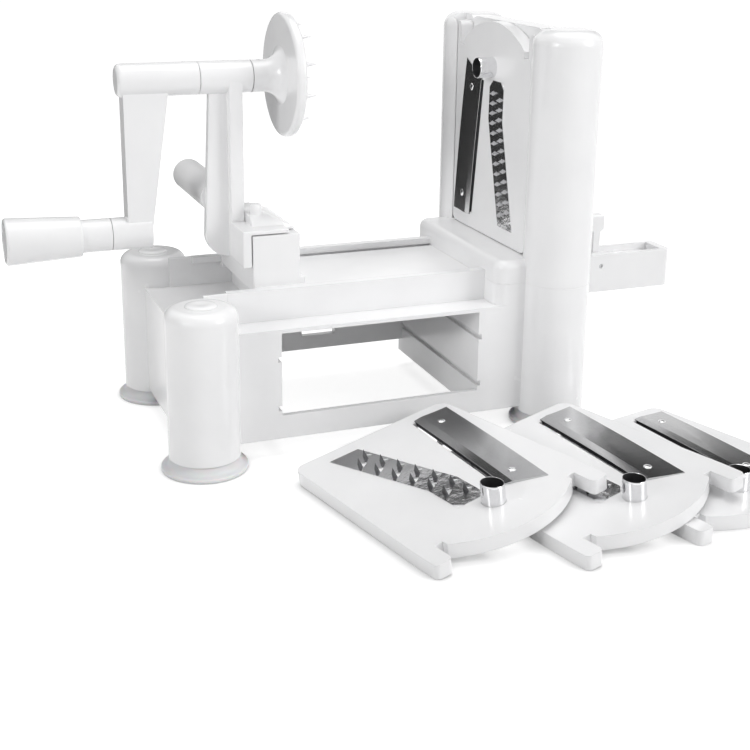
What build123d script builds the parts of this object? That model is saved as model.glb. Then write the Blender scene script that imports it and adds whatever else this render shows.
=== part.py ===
from build123d import *
import os
from math import asin, atan, cos, degrees, radians, sin

# A white folding spiralizer: a base with a sliding crank carriage, a tower that holds a blade plate
# across the crank's axis, and three spare blade plates that lie in front, each leaning on the next.
# Millimetres, +Z up, the table at z = 0. The crank is at the left (-X), the tower at the right (+X),
# and the front (-Y) is open for storing the blade plates. The origin is the middle of the whole
# outline on the table.

os.makedirs("parts", exist_ok=True)

# ---------------------------------------------------------------- driving dimensions
LEFT_X = -123.2          # axis of the two left columns
FRONT_Y = 16.6           # axis of the two front columns
COLUMN_PITCH_X = 226.4   # left columns to right columns
COLUMN_PITCH_Y = 129.3   # front columns to back columns
COLUMN_R = 21.0
COLUMN_FOOT_Z = 8.0      # underside of the columns, on the suction cups
LEFT_COLUMN_TOP = 98.0
COLUMN_ROUND = 6.5       # rounding of the left columns' top edge

CUP_R = 25.4
CUP_LIP = 4.0            # flat width of the cup's lip
CUP_LIP_T = 1.6
CUP_WALL = 2.4
SCREW_R = 2.0
SCREW_HEAD_R = 3.8
SCREW_HEAD_T = 2.6
CUP_SCREW_L = 22.0
PLUG_R = 9.3
PLUG_T = 1.4
PLUG_PEG_R = 6.0
PLUG_PEG_L = 4.0

WALL = 3.6               # base walls
END_WALL_OUT = 9.7       # the left end wall stands this far outside the columns' axis
BOX_BOTTOM = 11.0
LEDGE_TOP = 79.0
LEDGE_T = 2.4
BAY_LEFT = 47.5          # storage bay, from the left columns' axis
BAY_RIGHT = 174.5
BAY_SILL = 25.5
BACK_WALL = 5.3
BACK_WALL_BOTTOM = 20.5
BACK_SLOT_X = (100.0, 124.0)
BACK_SLOT_Z = (30.0, 34.0)
GROOVE_ZS = (28.5, 59.0)  # undersides of the storage grooves
GROOVE_H = 3.2
GROOVE_DEPTH = 2.2

TRACK_HALF = 45.7        # outer faces of the track walls, from the middle
TRACK_WALL = 2.5
TRACK_LEFT = 20.5
LIP_TOP = 98.0
LIP_T = 4.0
LIP_REACH = 6.0          # width of the lip, wall included
DECK_LEFT = 47.0
DECK_TOP = 93.3
DECK_T = 2.6
DECK_EDGE_GAP = 2.0      # slot between the lip's edge and the deck
GUIDE_FLOOR = 90.0       # floor of the slot that the carriage's hooks run in

BEAM_LEFT = 186.5        # the cross beam at the tower's foot
BEAM_ROUND = 8.0
REAR_FACE = 240.0        # rear face of the base between the right columns
SEAM_Z = 92.6            # joint between base and tower

CAP_TOP = 106.9
CAP_ROUND = 5.0
TOWER_TOP = 247.0
PILLAR_ROUND = 9.3
HOOD_BACK = 236.0
HOOD_TOP = 246.0
HOOD_ROUND = 12.0
HOOD_EDGE = 4.0
EXIT_HALF = 43.0         # half width of the opening for the strands
EXIT_TOP = 240.0
EXIT_ROUND = 30.0

AXIS_Z = 217.6           # crank axis above the table
PLATE_X = 209.1          # face of the mounted blade plate
PLATE_T = 8.4
PLATE_PANEL = 3.0
PLATE_RIM = 2.6
PLATE_HALF_LOW = 54.6
PLATE_HALF_HIGH = 59.4
PLATE_DROP = 110.2       # the plate's lower edge below the crank axis
SHOULDER_UP = 10.0       # the plate's shoulder above the crank axis
EAR_UP = 25.0
EAR_W = 11.0
EAR_ROUND = 3.0
LOBE_HALF = 43.0
LOBE_NECK = 14.0
LOBE_UP = 28.4
PLATE_CORNER = 7.0
RIB_T = 1.6              # ribs across the plate's hollow back
RIB_US = (-20.0, 20.0)
RIB_VS = (-80.0, -46.0, -13.0)
FIT = 0.3                # running gap between flat faces

BLADE_TOP = (-37.0, 2.2)      # outer upper corner of the straight blade, from the crank axis
BLADE_LEAN = 7.7              # degrees from the plate's long axis
BLADE_LENGTH = 104.5
BLADE_WIDTH = 23.0
BLADE_SKEWS = (7.0, -3.0)     # how far the edge's ends lie below the back's, at the top and bottom
BLADE_T = 1.2
BLADE_SEAT = 0.6
BLADE_OVERHANG = 1.2
CUT_SLOT = 5.0
RIVET_R = 2.4
RIVET_HOLE_R = 1.4
RIVET_HEAD_T = 0.7
RIVET_SHARE = 0.13           # the rivets' distance from the blade's ends, of its length
RING_R = 6.6
RING_WALL = 0.7
RING_OUT = 11.2
STRIP_BEND_V = -33.0
STRIP_TOP_V = -8.0
STRIP_BOTTOM_V = -100.0
STRIP_U = (8.0, 7.6, 26.4)    # middle of the strip at its top, bend and bottom
STRIP_W = 20.0
STRIP_T = 0.8
STRIP_SEAT = 0.4
STRIP_SEAT_W = 1.8           # width of the seat round the window behind the strip
STRIP_END = 5.0              # from the strip's ends to its first teeth
ROW_SPACING = 9.6
TOOTH_RISE = 0.9             # height of a tooth, of its size
FINE_TEETH = (13, 2.6)       # teeth in the longer row, and the size of one
MEDIUM_TEETH = (9, 3.6)
COARSE_TEETH = (7, 4.6)

HUB_R = 9.65
ARM_LEFT = -28.0
HUB_LEFT = -31.0
HUB_RIGHT = 16.7
TUBE_LEFT = 17.0
TUBE_RIGHT = 49.0
CRANK_RADIUS = 90.0
FOOT_TUBE_LEFT = -37.5
FOOT_TUBE_RIGHT = -13.9
ARM_HALF = 6.2
ARM_TOP_RIGHT = -0.7
SPINDLE_R = 5.0
BUSH_R = 7.0
BUSH_L = 9.0
RUN = 0.05               # radial running clearance of shafts
CHUCK_NECK_LEFT = 49.3
DISC_LEFT = 67.4
DISC_T = 6.3
DISC_R = 37.0
SPIKE_H = 7.6
SPIKE_R = 2.0
HUB_PIN_R = 1.5

GRIP_NECK_RIGHT = -37.8
GRIP_BODY_RIGHT = -55.0
GRIP_LEFT = -98.6
GRIP_NECK_R = 9.65
GRIP_R_LEFT = 13.8
GRIP_R_RIGHT = 11.8
GRIP_BORE_R = 10.4
GRIP_FLOOR = -64.0
GRIP_PIN_R = 4.0
GRIP_PIN_HEAD_R = 7.0
GRIP_PIN_HEAD_T = 2.5

CARRIAGE_LEFT = 18.7
CARRIAGE_RIGHT = 68.0
BLOCK_LEFT = 37.0
BLOCK_HALF = 36.7
BLOCK_TOP = 129.0
FOOT_STEP_LEFT = 22.2
FOOT_STEP_TOP = 112.0
COWL_TOP = 137.0
COWL_HALF = 27.0
COVER_LEFT = 43.4
COVER_T = 2.4
COVER_GAP = 0.5
POST_WEB_HALF = 3.0
RIB_LEFT = 33.6
RIB_RIGHT = 42.0
RIB_HALF = 9.4
WEB_BOTTOM = 108.8
WEB_FLARE_X = 19.2
WEB_FLARE_Z = 128.7
WEB_TOP_X = 23.6
HANDLE_R = 10.0
HANDLE_X = 28.0
HANDLE_Z = 145.0
HANDLE_END = 79.0        # end of the push handle, from the middle
BUTTON_X = 47.5
BUTTON_R = 3.6
BUTTON_TOP = 143.5

STEADY_HALF = 11.7
STEADY_END = 345.0
STEADY_TOP = 90.0
STEADY_H = 26.0
STEADY_ROOT_BOTTOM = 39.0
TROUGH_X = (300.0, 339.0)
TROUGH_DEPTH = 5.0
TROUGH_WALL = 2.4
LATCH_X = 291.0
LATCH_HALF_Y = 4.0
LATCH_T = 5.0
LATCH_TOP = 116.0
LATCH_PIN_Z = 82.0
LATCH_PIN_R = 1.5
LATCH_SPRING_L = 3.0
LATCH_SPRING_R = 2.6
ARM_SCREW_ZS = (72.0, 84.0)
ARM_SCREW_L = 16.0
POST_SCREW_Y = 5.5       # the post's screws, from the middle
POST_SCREW_R = 1.5
POST_SCREW_L = 18.0
BUTTON_Y = -14.0         # from the middle
BUTTON_LENGTH = 14.5
BUTTON_WELL = 18.0
BUTTON_SPRING_R = 2.6
SPRING_WALL = 0.8
CHUCK_PIN_X = 54.0

LOOSE_HEADING = -75.0    # the loose plates' long axis, degrees from +X
LOOSE_STEP = 68.0        # each loose plate beyond the one that leans on it
LOOSE_SHIFTS = (36.0, 14.0)
LOOSE_FIRST = (122.0, -132.0)   # ring centre of the first, from the front left column

# ---------------------------------------------------------------- derived places
RIGHT_X = LEFT_X + COLUMN_PITCH_X
BACK_Y = FRONT_Y + COLUMN_PITCH_Y
MID_Y = (FRONT_Y + BACK_Y) / 2
LEFT_COLUMNS = [(LEFT_X, FRONT_Y), (LEFT_X, BACK_Y)]
RIGHT_COLUMNS = [(RIGHT_X, FRONT_Y), (RIGHT_X, BACK_Y)]
CUP_NAMES = ("front_left", "back_left", "front_right", "back_right")


def side_plane(y=MID_Y):
    """An upright plane along the length, sketched in (x, z), at depth y."""
    return Plane.XZ.offset(-y)


def box_at(x, y, z, mode=Mode.ADD):
    """A box from its (low, high) extents; x is measured from the left columns' axis."""
    with Locations((LEFT_X + (x[0] + x[1]) / 2, (y[0] + y[1]) / 2, (z[0] + z[1]) / 2)):
        Box(x[1] - x[0], y[1] - y[0], z[1] - z[0], mode=mode)


def both_sides(reach):
    """The (low, high) depth of something that reaches this far either side of the middle."""
    return (MID_Y - reach, MID_Y + reach)


# ---------------------------------------------------------------- base frame
LIP_INNER = TRACK_HALF - LIP_REACH
DECK_HALF = LIP_INNER - DECK_EDGE_GAP
GUIDE_HALF = TRACK_HALF - TRACK_WALL

with BuildPart() as base_frame:
    box_at((-END_WALL_OUT, BEAM_LEFT + BEAM_ROUND), (FRONT_Y, BACK_Y), (BOX_BOTTOM, LEDGE_TOP))
    with BuildSketch(Plane.XY.offset(BOX_BOTTOM)):
        with Locations((LEFT_X + (BEAM_LEFT + REAR_FACE) / 2, MID_Y)):
            RectangleRounded(REAR_FACE - BEAM_LEFT, COLUMN_PITCH_Y, BEAM_ROUND)
    extrude(amount=SEAM_Z - BOX_BOTTOM)
    # hollow left end, storage bay and right end, all open below
    inside_y = (FRONT_Y + WALL, BACK_Y - BACK_WALL)
    under_ledge = (BOX_BOTTOM - 1, LEDGE_TOP - LEDGE_T)
    box_at((-END_WALL_OUT + WALL, BAY_LEFT - WALL), inside_y, under_ledge, Mode.SUBTRACT)
    box_at((BAY_LEFT, BAY_RIGHT), inside_y, under_ledge, Mode.SUBTRACT)
    box_at((BAY_RIGHT + WALL, BEAM_LEFT + WALL), inside_y, under_ledge, Mode.SUBTRACT)
    box_at((BEAM_LEFT + WALL, REAR_FACE - WALL), inside_y, (BOX_BOTTOM - 1, SEAM_Z - WALL), Mode.SUBTRACT)
    # the four columns stand whole through the hollows
    with BuildSketch(Plane.XY.offset(COLUMN_FOOT_Z)):
        with Locations(*LEFT_COLUMNS):
            Circle(COLUMN_R)
    extrude(amount=LEFT_COLUMN_TOP - COLUMN_FOOT_Z)
    fillet(base_frame.edges().group_by(Axis.Z)[-1], COLUMN_ROUND)
    with BuildSketch(Plane.XY.offset(COLUMN_FOOT_Z)):
        with Locations(*RIGHT_COLUMNS):
            Circle(COLUMN_R)
    extrude(amount=SEAM_Z - COLUMN_FOOT_Z)
    # front opening, the open back and the slot in it
    box_at((BAY_LEFT, BAY_RIGHT), (FRONT_Y - 1, FRONT_Y + WALL + 1),
           (BAY_SILL, LEDGE_TOP - LEDGE_T), Mode.SUBTRACT)
    box_at((BAY_LEFT, BAY_RIGHT), (BACK_Y - BACK_WALL - 1, BACK_Y + 1),
           (BOX_BOTTOM - 1, BACK_WALL_BOTTOM), Mode.SUBTRACT)
    box_at(BACK_SLOT_X, (BACK_Y - BACK_WALL - 1, BACK_Y + 1), BACK_SLOT_Z, Mode.SUBTRACT)
    for groove_z in GROOVE_ZS:
        box_at((BAY_LEFT - GROOVE_DEPTH, BAY_RIGHT + GROOVE_DEPTH), (FRONT_Y - 1, BACK_Y - BACK_WALL),
               (groove_z, groove_z + GROOVE_H), Mode.SUBTRACT)
    # track: two walls with lips, the guide floor and the raised deck
    for side in (-1, 1):
        wall_y = sorted((MID_Y + side * TRACK_HALF, MID_Y + side * GUIDE_HALF))
        lip_y = sorted((MID_Y + side * TRACK_HALF, MID_Y + side * LIP_INNER))
        box_at((TRACK_LEFT, BEAM_LEFT + BEAM_ROUND), wall_y, (LEDGE_TOP - LEDGE_T, LIP_TOP))
        box_at((TRACK_LEFT, BEAM_LEFT), lip_y, (LIP_TOP - LIP_T, LIP_TOP))
    box_at((DECK_LEFT, BEAM_LEFT + 1), both_sides(GUIDE_HALF), (GUIDE_FLOOR - DECK_T, GUIDE_FLOOR))
    box_at((DECK_LEFT, BEAM_LEFT + 1), both_sides(DECK_HALF), (GUIDE_FLOOR - DECK_T, DECK_TOP))
    box_at((DECK_LEFT, DECK_LEFT + WALL), both_sides(GUIDE_HALF), (LEDGE_TOP - LEDGE_T, GUIDE_FLOOR))
    box_at((DECK_LEFT + WALL, BAY_RIGHT), both_sides(DECK_HALF),
           (LEDGE_TOP - LEDGE_T - 1, GUIDE_FLOOR - DECK_T), Mode.SUBTRACT)
    # the tower's lower end stands on the seam; the lips end at it
    box_at((BEAM_LEFT, REAR_FACE + COLUMN_R), (FRONT_Y - COLUMN_R - 1, BACK_Y + COLUMN_R + 1),
           (SEAM_Z, LIP_TOP + 1), Mode.SUBTRACT)
    # holes for the cups' screws, the plugs' pegs and the tower's screws
    with Locations(*[(x, y, COLUMN_FOOT_Z) for x, y in LEFT_COLUMNS + RIGHT_COLUMNS]):
        Cylinder(SCREW_R, CUP_SCREW_L, align=(Align.CENTER, Align.CENTER, Align.MIN), mode=Mode.SUBTRACT)
    with Locations(*[(x, y, LEFT_COLUMN_TOP) for x, y in LEFT_COLUMNS]):
        Cylinder(PLUG_PEG_R, PLUG_PEG_L, align=(Align.CENTER, Align.CENTER, Align.MAX), mode=Mode.SUBTRACT)
    with Locations(*[(x, y, SEAM_Z) for x, y in RIGHT_COLUMNS]):
        Cylinder(SCREW_R, CUP_SCREW_L, align=(Align.CENTER, Align.CENTER, Align.MAX), mode=Mode.SUBTRACT)
    with BuildSketch(Plane.YZ.offset(LEFT_X + REAR_FACE + 1)):
        with Locations(*[(MID_Y, z) for z in ARM_SCREW_ZS]):
            Circle(SCREW_R)
    extrude(amount=-WALL - 2, mode=Mode.SUBTRACT)
base_frame.part.label = "base_frame"
export_step(base_frame.part, "parts/base_frame.step")

# ---------------------------------------------------------------- tower
POCKET_FRONT = PLATE_X - FIT
POCKET_BACK = PLATE_X + PLATE_T + FIT
PLATE_FOOT_Z = AXIS_Z - PLATE_DROP

with BuildPart() as tower_frame:
    with BuildSketch(Plane.XY.offset(SEAM_Z)):
        with Locations((LEFT_X + (BEAM_LEFT + REAR_FACE) / 2, MID_Y)):
            RectangleRounded(REAR_FACE - BEAM_LEFT, COLUMN_PITCH_Y, BEAM_ROUND)
    extrude(amount=CAP_TOP - SEAM_Z)
    fillet(tower_frame.faces().sort_by(Axis.Z)[-1].edges().group_by(Axis.X)[0], CAP_ROUND)
    with BuildSketch(Plane.XY.offset(SEAM_Z)):
        with Locations(*RIGHT_COLUMNS):
            Circle(COLUMN_R)
    extrude(amount=TOWER_TOP - SEAM_Z)
    fillet(tower_frame.edges().group_by(Axis.Z)[-1], PILLAR_ROUND)
    # hood behind the plate
    with BuildSketch(Plane.YZ.offset(LEFT_X + POCKET_BACK)):
        with BuildLine():
            half = COLUMN_PITCH_Y / 2 - COLUMN_R / 2
            FilletPolyline(
                (MID_Y - half, SEAM_Z), (MID_Y - half, HOOD_TOP), (MID_Y + half, HOOD_TOP),
                (MID_Y + half, SEAM_Z), radius=HOOD_ROUND, close=False)
            Line((MID_Y + half, SEAM_Z), (MID_Y - half, SEAM_Z))
        make_face()
    extrude(amount=HOOD_BACK - POCKET_BACK)
    hood_edges = tower_frame.edges().filter_by(Axis.Y).filter_by_position(Axis.Z, HOOD_TOP - 0.1, HOOD_TOP + 0.1)
    fillet(hood_edges.sort_by(Axis.X)[-1], HOOD_EDGE)
    # opening for the strands
    with BuildSketch(Plane.YZ.offset(LEFT_X + POCKET_FRONT)):
        with BuildLine():
            FilletPolyline(
                (MID_Y - EXIT_HALF, CAP_TOP), (MID_Y - EXIT_HALF, EXIT_TOP), (MID_Y + EXIT_HALF, EXIT_TOP),
                (MID_Y + EXIT_HALF, CAP_TOP), radius=EXIT_ROUND, close=False)
            Line((MID_Y + EXIT_HALF, CAP_TOP), (MID_Y - EXIT_HALF, CAP_TOP))
        make_face()
    extrude(amount=REAR_FACE, mode=Mode.SUBTRACT)
    # pocket that the blade plate slides into from above
    with BuildSketch(Plane.YZ.offset(LEFT_X + POCKET_FRONT)):
        low = PLATE_HALF_LOW + FIT
        rise = SHOULDER_UP + PLATE_DROP
        high = low + (PLATE_HALF_HIGH - PLATE_HALF_LOW) * (TOWER_TOP + 1 - PLATE_FOOT_Z) / rise
        Polygon((MID_Y - low, PLATE_FOOT_Z), (MID_Y + low, PLATE_FOOT_Z), (MID_Y + high, TOWER_TOP + 1),
                (MID_Y - high, TOWER_TOP + 1), align=None)
    extrude(amount=POCKET_BACK - POCKET_FRONT, mode=Mode.SUBTRACT)
    with Locations(*[(x, y, SEAM_Z) for x, y in RIGHT_COLUMNS]):
        Cylinder(SCREW_R, CUP_SCREW_L, align=(Align.CENTER, Align.CENTER, Align.MIN), mode=Mode.SUBTRACT)
tower_frame.part.label = "tower_frame"
export_step(tower_frame.part, "parts/tower_frame.step")

# ---------------------------------------------------------------- feet, plugs and hidden screws


def suction_cup(x, y):
    """A rubber cup: a flat lip on the table, a dome up to the column and a hollow underneath."""
    with BuildPart() as cup:
        with BuildSketch(Plane.XZ):
            with BuildLine():
                Polyline((CUP_R - CUP_LIP, 0), (CUP_R, 0), (CUP_R, CUP_LIP_T), (CUP_R - CUP_LIP, CUP_LIP_T))
                ThreePointArc((CUP_R - CUP_LIP, CUP_LIP_T), (CUP_R - CUP_LIP - 1.6, COLUMN_FOOT_Z - 1.8),
                              (COLUMN_R - 5, COLUMN_FOOT_Z))
                Polyline((COLUMN_R - 5, COLUMN_FOOT_Z), (SCREW_R, COLUMN_FOOT_Z),
                         (SCREW_R, COLUMN_FOOT_Z - CUP_WALL), (COLUMN_R - 8, COLUMN_FOOT_Z - CUP_WALL))
                ThreePointArc((COLUMN_R - 8, COLUMN_FOOT_Z - CUP_WALL),
                              (CUP_R - CUP_LIP - 3.4, COLUMN_FOOT_Z - CUP_WALL - 2.4), (CUP_R - CUP_LIP, 0))
            make_face()
        revolve(axis=Axis.Z)
    return cup.part.moved(Location((x, y, 0)))


for name, (x, y) in zip(CUP_NAMES, LEFT_COLUMNS + RIGHT_COLUMNS):
    cup_part = suction_cup(x, y)
    cup_part.label = f"suction_cup_{name}"
    export_step(cup_part, f"parts/suction_cup_{name}.step")

with BuildPart() as cup_screws:
    with Locations(*[(x, y, COLUMN_FOOT_Z) for x, y in LEFT_COLUMNS + RIGHT_COLUMNS]):
        Cylinder(SCREW_R, CUP_SCREW_L - 1, align=(Align.CENTER, Align.CENTER, Align.MIN))
    with Locations(*[(x, y, COLUMN_FOOT_Z) for x, y in LEFT_COLUMNS + RIGHT_COLUMNS]):
        Cylinder(SCREW_R, CUP_WALL, align=(Align.CENTER, Align.CENTER, Align.MAX))
    with Locations(*[(x, y, COLUMN_FOOT_Z - CUP_WALL) for x, y in LEFT_COLUMNS + RIGHT_COLUMNS]):
        Cylinder(SCREW_HEAD_R, SCREW_HEAD_T, align=(Align.CENTER, Align.CENTER, Align.MAX))
cup_screws.part.label = "cup_screws"
export_step(cup_screws.part, "parts/cup_screws.step")

with BuildPart() as tower_screws:
    with Locations(*[(x, y, SEAM_Z) for x, y in RIGHT_COLUMNS]):
        Cylinder(SCREW_R, 2 * CUP_SCREW_L - 2)
tower_screws.part.label = "tower_screws"
export_step(tower_screws.part, "parts/tower_screws.step")

for name, (x, y) in zip(("front", "back"), LEFT_COLUMNS):
    with BuildPart() as column_plug:
        with Locations((x, y, LEFT_COLUMN_TOP)):
            Cylinder(PLUG_R, PLUG_T, align=(Align.CENTER, Align.CENTER, Align.MIN))
        fillet(column_plug.edges().group_by(Axis.Z)[-1], PLUG_T * 0.7)
        with Locations((x, y, LEFT_COLUMN_TOP)):
            Cylinder(PLUG_PEG_R, PLUG_PEG_L, align=(Align.CENTER, Align.CENTER, Align.MAX))
    column_plug.part.label = f"column_plug_{name}"
    export_step(column_plug.part, f"parts/column_plug_{name}.step")

# ---------------------------------------------------------------- steady arm and its latch
STEADY_BOTTOM = STEADY_TOP - STEADY_H
LATCH_CLEAR = LATCH_HALF_Y + FIT
LATCH_SLOT = LATCH_CLEAR + LATCH_SPRING_L

with BuildPart() as steady_arm:
    with BuildSketch(side_plane()):
        with BuildLine():
            root_x = LEFT_X + REAR_FACE
            sweep_r = STEADY_BOTTOM - STEADY_ROOT_BOTTOM
            Polyline((root_x + sweep_r, STEADY_BOTTOM), (LEFT_X + STEADY_END, STEADY_BOTTOM),
                     (LEFT_X + STEADY_END, STEADY_TOP), (root_x, STEADY_TOP), (root_x, STEADY_ROOT_BOTTOM))
            RadiusArc((root_x, STEADY_ROOT_BOTTOM), (root_x + sweep_r, STEADY_BOTTOM), sweep_r)
        make_face()
    extrude(amount=STEADY_HALF, both=True)
    fillet(steady_arm.edges().filter_by(Axis.Z).sort_by(Axis.X)[-2:], 3.0)
    box_at(TROUGH_X, both_sides(STEADY_HALF - TROUGH_WALL), (STEADY_TOP - TROUGH_DEPTH, STEADY_TOP + 1),
           Mode.SUBTRACT)
    box_at((LATCH_X - 9, LATCH_X + 9), (MID_Y - LATCH_CLEAR, MID_Y + LATCH_SLOT), (LATCH_PIN_Z - 8, STEADY_TOP + 1),
           Mode.SUBTRACT)
    with BuildSketch(side_plane()):
        with Locations((LEFT_X + LATCH_X, LATCH_PIN_Z)):
            Circle(LATCH_PIN_R)
    extrude(amount=STEADY_HALF, both=True, mode=Mode.SUBTRACT)
    with BuildSketch(Plane.YZ.offset(LEFT_X + REAR_FACE)):
        with Locations(*[(MID_Y, z) for z in ARM_SCREW_ZS]):
            Circle(SCREW_R)
    extrude(amount=ARM_SCREW_L, mode=Mode.SUBTRACT)
steady_arm.part.label = "steady_arm"
export_step(steady_arm.part, "parts/steady_arm.step")

with BuildPart() as latch_pin:
    with BuildSketch(side_plane()):
        with Locations((LEFT_X + LATCH_X, LATCH_PIN_Z)):
            Circle(LATCH_PIN_R)
    extrude(amount=STEADY_HALF - 1, both=True)
latch_pin.part.label = "latch_pin"
export_step(latch_pin.part, "parts/latch_pin.step")

with BuildPart() as latch_lever:
    with BuildSketch(side_plane()):
        with Locations((LEFT_X + LATCH_X, LATCH_PIN_Z)):
            Circle(LATCH_T)
        with BuildLine():
            x0 = LEFT_X + LATCH_X
            Polyline((x0 - LATCH_T / 2, LATCH_PIN_Z), (x0 + LATCH_T / 2, LATCH_PIN_Z),
                     (x0 + LATCH_T / 2, LATCH_TOP - 12), (x0 + LATCH_T, LATCH_TOP - 10),
                     (x0 + LATCH_T, LATCH_TOP), (x0 - LATCH_T, LATCH_TOP),
                     (x0 - LATCH_T, LATCH_TOP - 10), (x0 - LATCH_T / 2, LATCH_TOP - 12), close=True)
        make_face()
        with Locations((LEFT_X + LATCH_X, LATCH_PIN_Z)):
            Circle(LATCH_PIN_R + RUN, mode=Mode.SUBTRACT)
    extrude(amount=LATCH_HALF_Y, both=True)
    fillet(latch_lever.faces().sort_by(Axis.Z)[-1].edges(), 1.5)
latch_lever.part.label = "latch_lever"
export_step(latch_lever.part, "parts/latch_lever.step")

with BuildPart() as latch_spring:
    with BuildSketch(side_plane(MID_Y + LATCH_CLEAR)):
        with Locations((LEFT_X + LATCH_X, LATCH_PIN_Z)):
            Circle(LATCH_SPRING_R)
            Circle(LATCH_SPRING_R - SPRING_WALL, mode=Mode.SUBTRACT)
    extrude(amount=-LATCH_SPRING_L)
latch_spring.part.label = "latch_spring"
export_step(latch_spring.part, "parts/latch_spring.step")

with BuildPart() as arm_screws:
    with BuildSketch(Plane.YZ.offset(LEFT_X + REAR_FACE - WALL)):
        with Locations(*[(MID_Y, z) for z in ARM_SCREW_ZS]):
            Circle(SCREW_R)
    extrude(amount=ARM_SCREW_L)
    with BuildSketch(Plane.YZ.offset(LEFT_X + REAR_FACE - WALL)):
        with Locations(*[(MID_Y, z) for z in ARM_SCREW_ZS]):
            Circle(SCREW_HEAD_R)
    extrude(amount=-SCREW_HEAD_T)
arm_screws.part.label = "arm_screws"
export_step(arm_screws.part, "parts/arm_screws.step")

# ---------------------------------------------------------------- crank carriage
HOOK_OUT = GUIDE_HALF - FIT
HOOK_IN = DECK_HALF + FIT
SOLE_Z = DECK_TOP + FIT
SOLE_LEFT = 2.0          # of the sole, above the post screws' heads
POST_X = LEFT_X + (RIB_LEFT + RIB_RIGHT) / 2
POST_SCREWS = [(POST_X, MID_Y + side * POST_SCREW_Y, SOLE_Z) for side in (-1, 1)]

with BuildPart() as carriage_body:
    box_at((CARRIAGE_LEFT, CARRIAGE_RIGHT), both_sides(LIP_INNER - FIT), (SOLE_Z, LIP_TOP))
    for side in (-1, 1):
        hook_y = sorted((MID_Y + side * HOOK_IN, MID_Y + side * HOOK_OUT))
        web_y = sorted((MID_Y + side * HOOK_IN, MID_Y + side * (LIP_INNER - FIT)))
        box_at((CARRIAGE_LEFT, CARRIAGE_RIGHT), hook_y, (GUIDE_FLOOR + FIT, LIP_TOP - LIP_T - FIT))
        box_at((CARRIAGE_LEFT, CARRIAGE_RIGHT), web_y, (GUIDE_FLOOR + FIT, LIP_TOP))
    with BuildSketch(side_plane()):
        with BuildLine():
            Polyline((LEFT_X + FOOT_STEP_LEFT, LIP_TOP), (LEFT_X + FOOT_STEP_LEFT, FOOT_STEP_TOP),
                     (LEFT_X + BLOCK_LEFT, FOOT_STEP_TOP), (LEFT_X + BLOCK_LEFT, BLOCK_TOP),
                     (LEFT_X + CARRIAGE_RIGHT, BLOCK_TOP), (LEFT_X + CARRIAGE_RIGHT, LIP_TOP), close=True)
        make_face()
    extrude(amount=BLOCK_HALF, both=True)
    with BuildSketch(side_plane()):
        with BuildLine():
            Polyline((LEFT_X + RIB_RIGHT, BLOCK_TOP), (LEFT_X + RIB_RIGHT, COWL_TOP),
                     (LEFT_X + COVER_LEFT + 9, COWL_TOP), (LEFT_X + CARRIAGE_RIGHT, BLOCK_TOP + 1.5),
                     (LEFT_X + CARRIAGE_RIGHT, BLOCK_TOP), close=True)
        make_face()
    extrude(amount=COWL_HALF, both=True)
    # recess for the inset front cover
    box_at((COVER_LEFT - COVER_GAP, CARRIAGE_RIGHT + 1), (MID_Y - BLOCK_HALF - 1, MID_Y - BLOCK_HALF + COVER_T),
           (LIP_TOP + 1, BLOCK_TOP - 1.6), Mode.SUBTRACT)
    # slot for the post and the well for the button
    box_at((RIB_LEFT, RIB_RIGHT), both_sides(RIB_HALF), (LIP_TOP, COWL_TOP + 1), Mode.SUBTRACT)
    box_at((CARRIAGE_LEFT, RIB_LEFT + 1), both_sides(POST_WEB_HALF), (WEB_BOTTOM, BLOCK_TOP), Mode.SUBTRACT)
    with Locations((LEFT_X + BUTTON_X, MID_Y + BUTTON_Y, COWL_TOP)):
        Cylinder(BUTTON_R + FIT, BUTTON_WELL, align=(Align.CENTER, Align.CENTER, Align.MAX), mode=Mode.SUBTRACT)
    with Locations(*POST_SCREWS):
        Cylinder(POST_SCREW_R, LIP_TOP - SOLE_Z, align=(Align.CENTER, Align.CENTER, Align.MIN),
                 mode=Mode.SUBTRACT)
        Cylinder(2 * POST_SCREW_R, LIP_TOP - SOLE_Z - SOLE_LEFT, align=(Align.CENTER, Align.CENTER, Align.MIN),
                 mode=Mode.SUBTRACT)
carriage_body.part.label = "carriage_body"
export_step(carriage_body.part, "parts/carriage_body.step")

with BuildPart() as carriage_cover:
    box_at((COVER_LEFT, CARRIAGE_RIGHT), (MID_Y - BLOCK_HALF - 0.6, MID_Y - BLOCK_HALF + COVER_T),
           (LIP_TOP + 1 + COVER_GAP, BLOCK_TOP - 1.6 - COVER_GAP))
    fillet(carriage_cover.faces().sort_by(Axis.Y)[0].edges(), 0.5)
carriage_cover.part.label = "carriage_cover"
export_step(carriage_cover.part, "parts/carriage_cover.step")

with BuildPart() as release_button:
    with Locations((LEFT_X + BUTTON_X, MID_Y + BUTTON_Y, BUTTON_TOP)):
        Cylinder(BUTTON_R, BUTTON_LENGTH, align=(Align.CENTER, Align.CENTER, Align.MAX))
    fillet(release_button.edges().group_by(Axis.Z)[-1], 1.6)
release_button.part.label = "release_button"
export_step(release_button.part, "parts/release_button.step")

with BuildPart() as button_spring:
    with Locations((LEFT_X + BUTTON_X, MID_Y + BUTTON_Y, COWL_TOP - BUTTON_WELL)):
        Cylinder(BUTTON_SPRING_R, BUTTON_TOP - BUTTON_LENGTH - COWL_TOP + BUTTON_WELL,
                 align=(Align.CENTER, Align.CENTER, Align.MIN))
        Cylinder(BUTTON_SPRING_R - SPRING_WALL, BUTTON_TOP - BUTTON_LENGTH - COWL_TOP + BUTTON_WELL,
                 align=(Align.CENTER, Align.CENTER, Align.MIN), mode=Mode.SUBTRACT)
button_spring.part.label = "button_spring"
export_step(button_spring.part, "parts/button_spring.step")

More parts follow.
